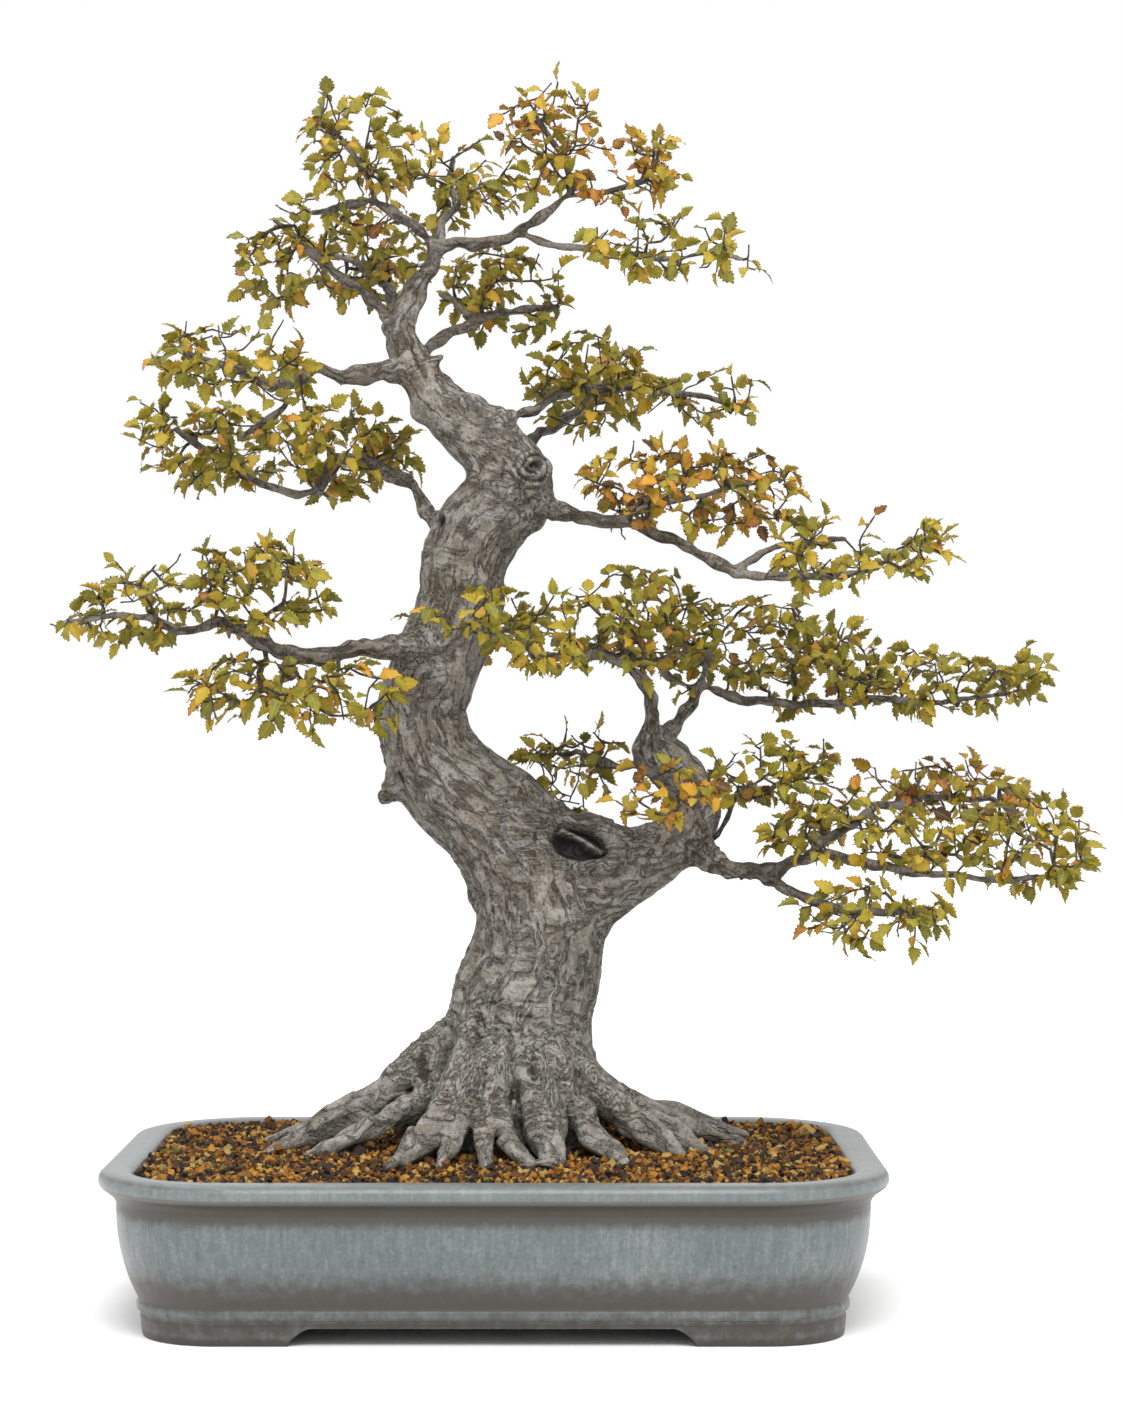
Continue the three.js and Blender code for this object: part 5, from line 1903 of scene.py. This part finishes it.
@dataclass
class Cloud:
    """One pad of foliage: its twigs, leaf stalks and leaves.

    Attributes:
        node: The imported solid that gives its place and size.
        seed: Which growth this is.
        golden: Whether it has turned further than the rest.
        leaf_space: How much room one leaf has.
        leaves_to_twig: How many leaves a twig carries.
        leaf_length: A middling leaf's length.
        leaf_gap: How far apart the leaves stand on a twig.
        bare_share: How many of the twigs have lost their leaves.
        stalk: A leaf stalk's length.
        twig_step: The length between a twig's joints.
        twig_tip: The radius of a twig's end.
        twig_limit: The radius that no twig passes.
        limb_reach: How near the pad a limb's middle has to be for twigs to grow from it.
    """

    node: str
    seed: int
    golden: bool
    leaf_space: float = 1700 * MM**3
    leaves_to_twig: float = 3.3
    leaf_length: float = 11.2 * MM
    bare_share: float = 0.11
    stalk: float = 2.6 * MM
    leaf_gap: float = 6.5 * MM
    twig_step: float = 6.5 * MM
    twig_tip: float = 0.46 * MM
    twig_limit: float = 2.3 * MM
    limb_reach: float = 7 * MM

    def grow(self, middles: Array, radii: Array) -> tuple[Object, Object]:
        """Grows the pad.

        Args:
            middles: Points in the middle of all the limbs.
            radii: The limbs' radius at each.

        Returns:
            Its twigs and its leaves.
        """
        draw = np.random.default_rng(self.seed)
        solid = Solid.of(NODES[self.node])
        centre = solid.points.mean(0)
        near = [i for i, point in enumerate(middles) if solid.depth(point) > -self.limb_reach]
        if not near:
            near = list(np.argsort(np.linalg.norm(middles - centre, axis=1))[:3])
        near = self._thinned(middles, near)
        wanted = max(12, int(solid.volume() / self.leaf_space))
        shoots = Shoots(middles[near], radii[near], draw)
        targets = self._targets(solid, int(wanted / self.leaves_to_twig), draw)
        order = np.argsort([np.linalg.norm(middles[near] - target, axis=1).min() for target in targets])
        for index in order:
            shoots.reach(targets[index], self.twig_step)
        return self._dressed(shoots, wanted, centre, draw)

    @staticmethod
    def _thinned(middles: Array, near: list[int]) -> list[int]:
        """The limb points to start from, no two closer than a twig's spacing."""
        kept: list[int] = []
        for i in near:
            if all(np.linalg.norm(middles[i] - middles[j]) > 4 * MM for j in kept):
                kept.append(i)
        return kept

    @staticmethod
    def _targets(solid: Solid, count: int, draw: Generator) -> list:
        """Where the twigs end: spread through the pad, more of them near its skin.

        Args:
            solid: The pad's solid.
            count: How many are wanted.
            draw: The random numbers.

        Returns:
            The places.
        """
        low, high = solid.points.min(0), solid.points.max(0)
        found: list[Array] = []
        apart = 0.75 * (solid.volume() / max(count, 1)) ** (1 / 3)
        tries = 0
        while len(found) < count and tries < 40 * count:
            tries += 1
            point = draw.uniform(low, high)
            depth = solid.depth(point)
            if depth < 0.5 * MM or draw.random() > 0.3 + 0.7 * math.exp(-depth / (9 * MM)):
                continue
            if all(np.linalg.norm(point - other) > apart for other in found):
                found.append(point)
                apart *= 0.995
        return found

    def _dressed(self, shoots: Shoots, wanted: int, centre: Array, draw: Generator) -> tuple:
        """Gives the twigs thickness, buds, stalks and leaves.

        Args:
            shoots: The twigs.
            wanted: How many leaves they carry.
            centre: The pad's middle.
            draw: The random numbers.

        Returns:
            The twigs' object and the leaves' object.
        """
        thick = shoots.radii(self.twig_tip, self.twig_limit)
        places = np.array(shoots.places)
        wood, stalks, leaves = Tubes(6), Tubes(4), Leaves()
        each = wanted / max(len(shoots.tips), 1)
        for chain in shoots.chains():
            route = places[chain]
            radii = thick[chain].copy()
            if chain[0] < shoots.rooted:
                radii[0] = min(radii[1] * 1.5, shoots.limb_radii[chain[0]])
            else:
                radii[0] = min(radii[0], radii[1] * 1.25)
            bare = draw.random() < self.bare_share
            if bare:
                onward = unit(route[-1] - route[-2] + draw.normal(size=3) * 2 * MM + (0, 0, 2 * MM))
                route = np.concatenate([route, route[-1:] + onward * draw.uniform(2, 6) * MM])
                radii = np.append(radii, radii[-1] * 0.75)
            knuckle = 1 + 0.3 * (np.arange(len(route)) % 2)
            route, radii = self._finer(route, radii * knuckle)
            wood.add(route, radii)
            count = 0 if bare else int(each / (1 - self.bare_share) + draw.random())
            self._leaf_run(route, centre, count, stalks, leaves, draw)
        base = wood.count
        wood.points += stalks.points
        wood.quads += [block + base for block in stalks.quads]
        wood.triangles += [block + base for block in stalks.triangles]
        name = self.node.removeprefix("foliage_")
        twigs = wood.piece("twigs_" + name)
        looks = {"crease_shade": 0.0, "hollow": 0.0, "relief": 0.35, "slim": 1.0, "along": 0.0}
        for kept, value in looks.items():
            store(twigs, kept, np.full(len(twigs.data.vertices), value))
        store(twigs, "around", mesh_arrays(twigs)[0])
        return twigs, leaves.piece("leaves_" + name)

    @staticmethod
    def _finer(route: Array, radii: Array) -> tuple[Array, Array]:
        """A route with a point added in the middle of each step, rounded a little."""
        middle = (route[1:] + route[:-1]) / 2
        even = route.copy()
        even[1:-1] = route[1:-1] * 0.7 + (middle[1:] + middle[:-1]) * 0.15
        fine = np.empty((2 * len(route) - 1, 3))
        fine[0::2], fine[1::2] = even, middle
        return fine, np.interp(np.arange(len(fine)) / 2, np.arange(len(radii)), radii)

    def _leaf_run(self, route: Array, centre: Array, count: int, stalks: Tubes, leaves: Leaves,
                  draw: Generator) -> None:
        """Sets leaves by turns along the outer end of one twig.

        Args:
            route: The twig's points.
            centre: The pad's middle.
            count: How many leaves.
            stalks: Takes the leaf stalks and buds.
            leaves: Takes the leaves.
            draw: The random numbers.
        """
        steps = np.concatenate([[0], np.cumsum(np.linalg.norm(np.diff(route, axis=0), axis=1))])
        span = min(steps[-1] * 0.9, (count - 0.5) * self.leaf_gap)
        ahead = unit(route[-1] - route[max(len(route) - 4, 0)])
        for number in range(count):
            back = steps[-1] - span * number / max(count - 1, 1)
            start = np.array([np.interp(back, steps, route[:, k]) for k in range(3)])
            side = unit(np.cross(ahead, (0, 0, 1)) + draw.normal(size=3) * 0.25) * (1 if number % 2 else -1)
            out = unit((start - centre) * (1, 1, 0.6))
            heading = ahead * 0.5 + side * (0.8 if number else 0.15) + out * 0.4
            heading = unit(heading + draw.normal(size=3) * 0.3 + (0, 0, -draw.uniform(-0.25, 0.8)))
            stem = unit(heading + (0, 0, 0.55))
            reach = self.stalk * draw.uniform(0.7, 1.5)
            bend = start + stem * reach * 0.5
            base = start + stem * reach * 0.6 + heading * reach * 0.4
            stalks.add(np.array([start, bend, base]), np.array([0.34, 0.27, 0.24]) * MM)
            facing = unit(np.array([0, 0, 0.8]) + draw.normal(size=3) * 0.6 + out * 0.5)
            age = draw.beta(2.2, 3.0) * 0.75 + (0.14 if self.golden else 0.0)
            if draw.random() < (0.3 if self.golden else 0.12):
                age += 0.3
            length = self.leaf_length * draw.uniform(0.66, 1.2)
            leaves.add(int(draw.integers(8)), base - heading * 0.1 * MM, heading, facing, length, min(age, 1))
        bud = route[-1] + ahead * 0.9 * MM
        stalks.add(np.array([route[-1], bud, bud + ahead * 0.9 * MM]), np.array([0.4, 0.62, 0.3]) * MM)


# ---------------------------------------------------------------- studio
@dataclass
class Studio:
    """The camera, the white sweep and the lights.

    Attributes:
        pot: The pot, which the camera's place is measured from.
        camera_right: How far to the right of the pot's middle the camera stands.
        camera_away: How far in front of it.
        camera_height: How high above the ground.
        lens: Its lens, in millimetres.
        floor_steps: How many sides the round floor has.
        boxes: Each soft box's name, place, size and power in watts.
        aim: Where the boxes point.
    """

    pot: Pot
    camera_right: float = 39 * MM
    camera_away: float = 2.05
    camera_height: float = 0.365
    lens: float = 86.9
    floor_steps: int = 96
    boxes: tuple = (("key", (0.2, -1.4, 2.2), 1.5, 56), ("top", (-0.5, 0.3, 2.4), 1.7, 16))
    aim: tuple = (0, 0, 0.35)

    def build(self, finish: Material) -> None:
        """Builds the studio, with its floor in this finish."""
        self._camera()
        self._sweep(finish)
        self._lights()

    def _camera(self) -> None:
        """A level camera in front of the pot."""
        data = bpy.data.cameras.new("camera")
        data.lens = self.lens
        data.sensor_width = 36
        camera = bpy.data.objects.new("camera", data)
        x, y = self.pot.centre.x + self.camera_right, self.pot.centre.y - self.camera_away
        camera.location = (x, y, self.camera_height)
        camera.rotation_euler = (math.radians(90), 0, 0)
        bpy.context.scene.collection.objects.link(camera)
        bpy.context.scene.camera = camera

    def _sweep(self, finish: Material) -> None:
        """A round white floor, wide enough to fade out in every view."""
        turns = np.arange(self.floor_steps) * 2 * math.pi / self.floor_steps
        rings = []
        for radius, height in ((0.02, 0), (0.6, 0), (2, 0), (5, 0), (9, 0), (9, -0.02), (0.02, -0.02)):
            ring = np.column_stack([np.cos(turns) * radius, np.sin(turns) * radius])
            rings.append(np.column_stack([ring, np.full(self.floor_steps, height - 0.3 * MM)]))
        floor = loft("floor", rings[::-1])
        floor.data.materials.append(finish)
        floor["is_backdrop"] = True

    def _lights(self) -> None:
        """White light from all round, a large soft box above the front and a weak one above the back."""
        world = bpy.data.worlds.new("studio")
        world.use_nodes = True
        background = world.node_tree.nodes["Background"]
        background.inputs["Color"].default_value = (1, 1, 1, 1)
        background.inputs["Strength"].default_value = 1.0
        bpy.context.scene.world = world
        for name, place_at, size, power in self.boxes:
            data = bpy.data.lights.new(name, "AREA")
            data.size = size
            data.energy = power
            light = bpy.data.objects.new(name, data)
            light.location = place_at
            heading = Vector(self.aim) - light.location
            light.rotation_euler = heading.to_track_quat("-Z", "Y").to_euler()
            bpy.context.scene.collection.objects.link(light)
        bpy.context.scene.view_settings.view_transform = "Standard"


# ---------------------------------------------------------------- the whole piece
@dataclass
class Bonsai:
    """The tree in its pot."""

    pot: Pot = field(default_factory=Pot)

    def build(self) -> None:
        """Builds every piece and dresses it."""
        place(self.pot.build(), Glaze().material(), "glaze", "pot")
        place(SoilBed(self.pot).build(), Granules().material(), "soil", "soil")
        wood = Wood(self.pot, FineRoots(SoilBed(self.pot)))
        place(wood.build(), Bark("bark").material(), "bark", *wood.nodes)
        self._dress_drainage()
        self._grow_foliage()

    @staticmethod
    def _dress_drainage() -> None:
        """Gives the screens and clips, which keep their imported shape, their finishes."""
        plastic, wire = MouldedMesh().material(), SoftWire().material()
        for side in ("left", "right"):
            for name, finish in (("drain_screen_", plastic), ("screen_clip_", wire)):
                for slot in NODES[name + side].material_slots:
                    slot.material = finish
                LOG.info("%s: dressed", name + side)

    @staticmethod
    def _grow_foliage() -> None:
        """Grows each cloud of leaves on the limbs."""
        limbs = [Solid.of(NODES[name]).middles() for name in sorted(NODES) if name.startswith("limb_")]
        middles = np.concatenate([points for points, _ in limbs])
        radii = np.concatenate([sizes for _, sizes in limbs])
        middles = Crook().at(middles, 2 * radii)
        bark = Bark("twig_bark", slender=tint(84, 70, 54), pale=tint(126, 114, 98), damp_height=0.0)
        bark = bark.material()
        green, gold = Leaf("leaf_green", 0.42).material(), Leaf("leaf_gold", 0.62).material()
        golden = {"foliage_right_mid", "foliage_low_back", "foliage_low_front", "foliage_apex_right"}
        clouds = sorted(name for name in NODES if name.startswith("foliage_"))
        for number, name in enumerate(clouds):
            cloud = Cloud(name, 100 + number, name in golden)
            twigs, leaves = cloud.grow(middles, radii)
            place(twigs, bark, "limb_bark", name)
            finish, slot = (gold, "leaf_gold") if cloud.golden else (green, "leaf_green")
            place(leaves, finish, slot, name)


def main() -> None:
    """Builds the studio and the tree."""
    logging.basicConfig(level=logging.INFO, format="%(name)s: %(message)s")
    bonsai = Bonsai()
    Studio(bonsai.pot).build(Paper().material())
    bonsai.build()
    boxes = {"cad": CAD_BOX, "visual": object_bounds()}
    plain = {name: [[float(n) for n in corner] for corner in box] for name, box in boxes.items()}


if __name__ == "__main__":
    main()
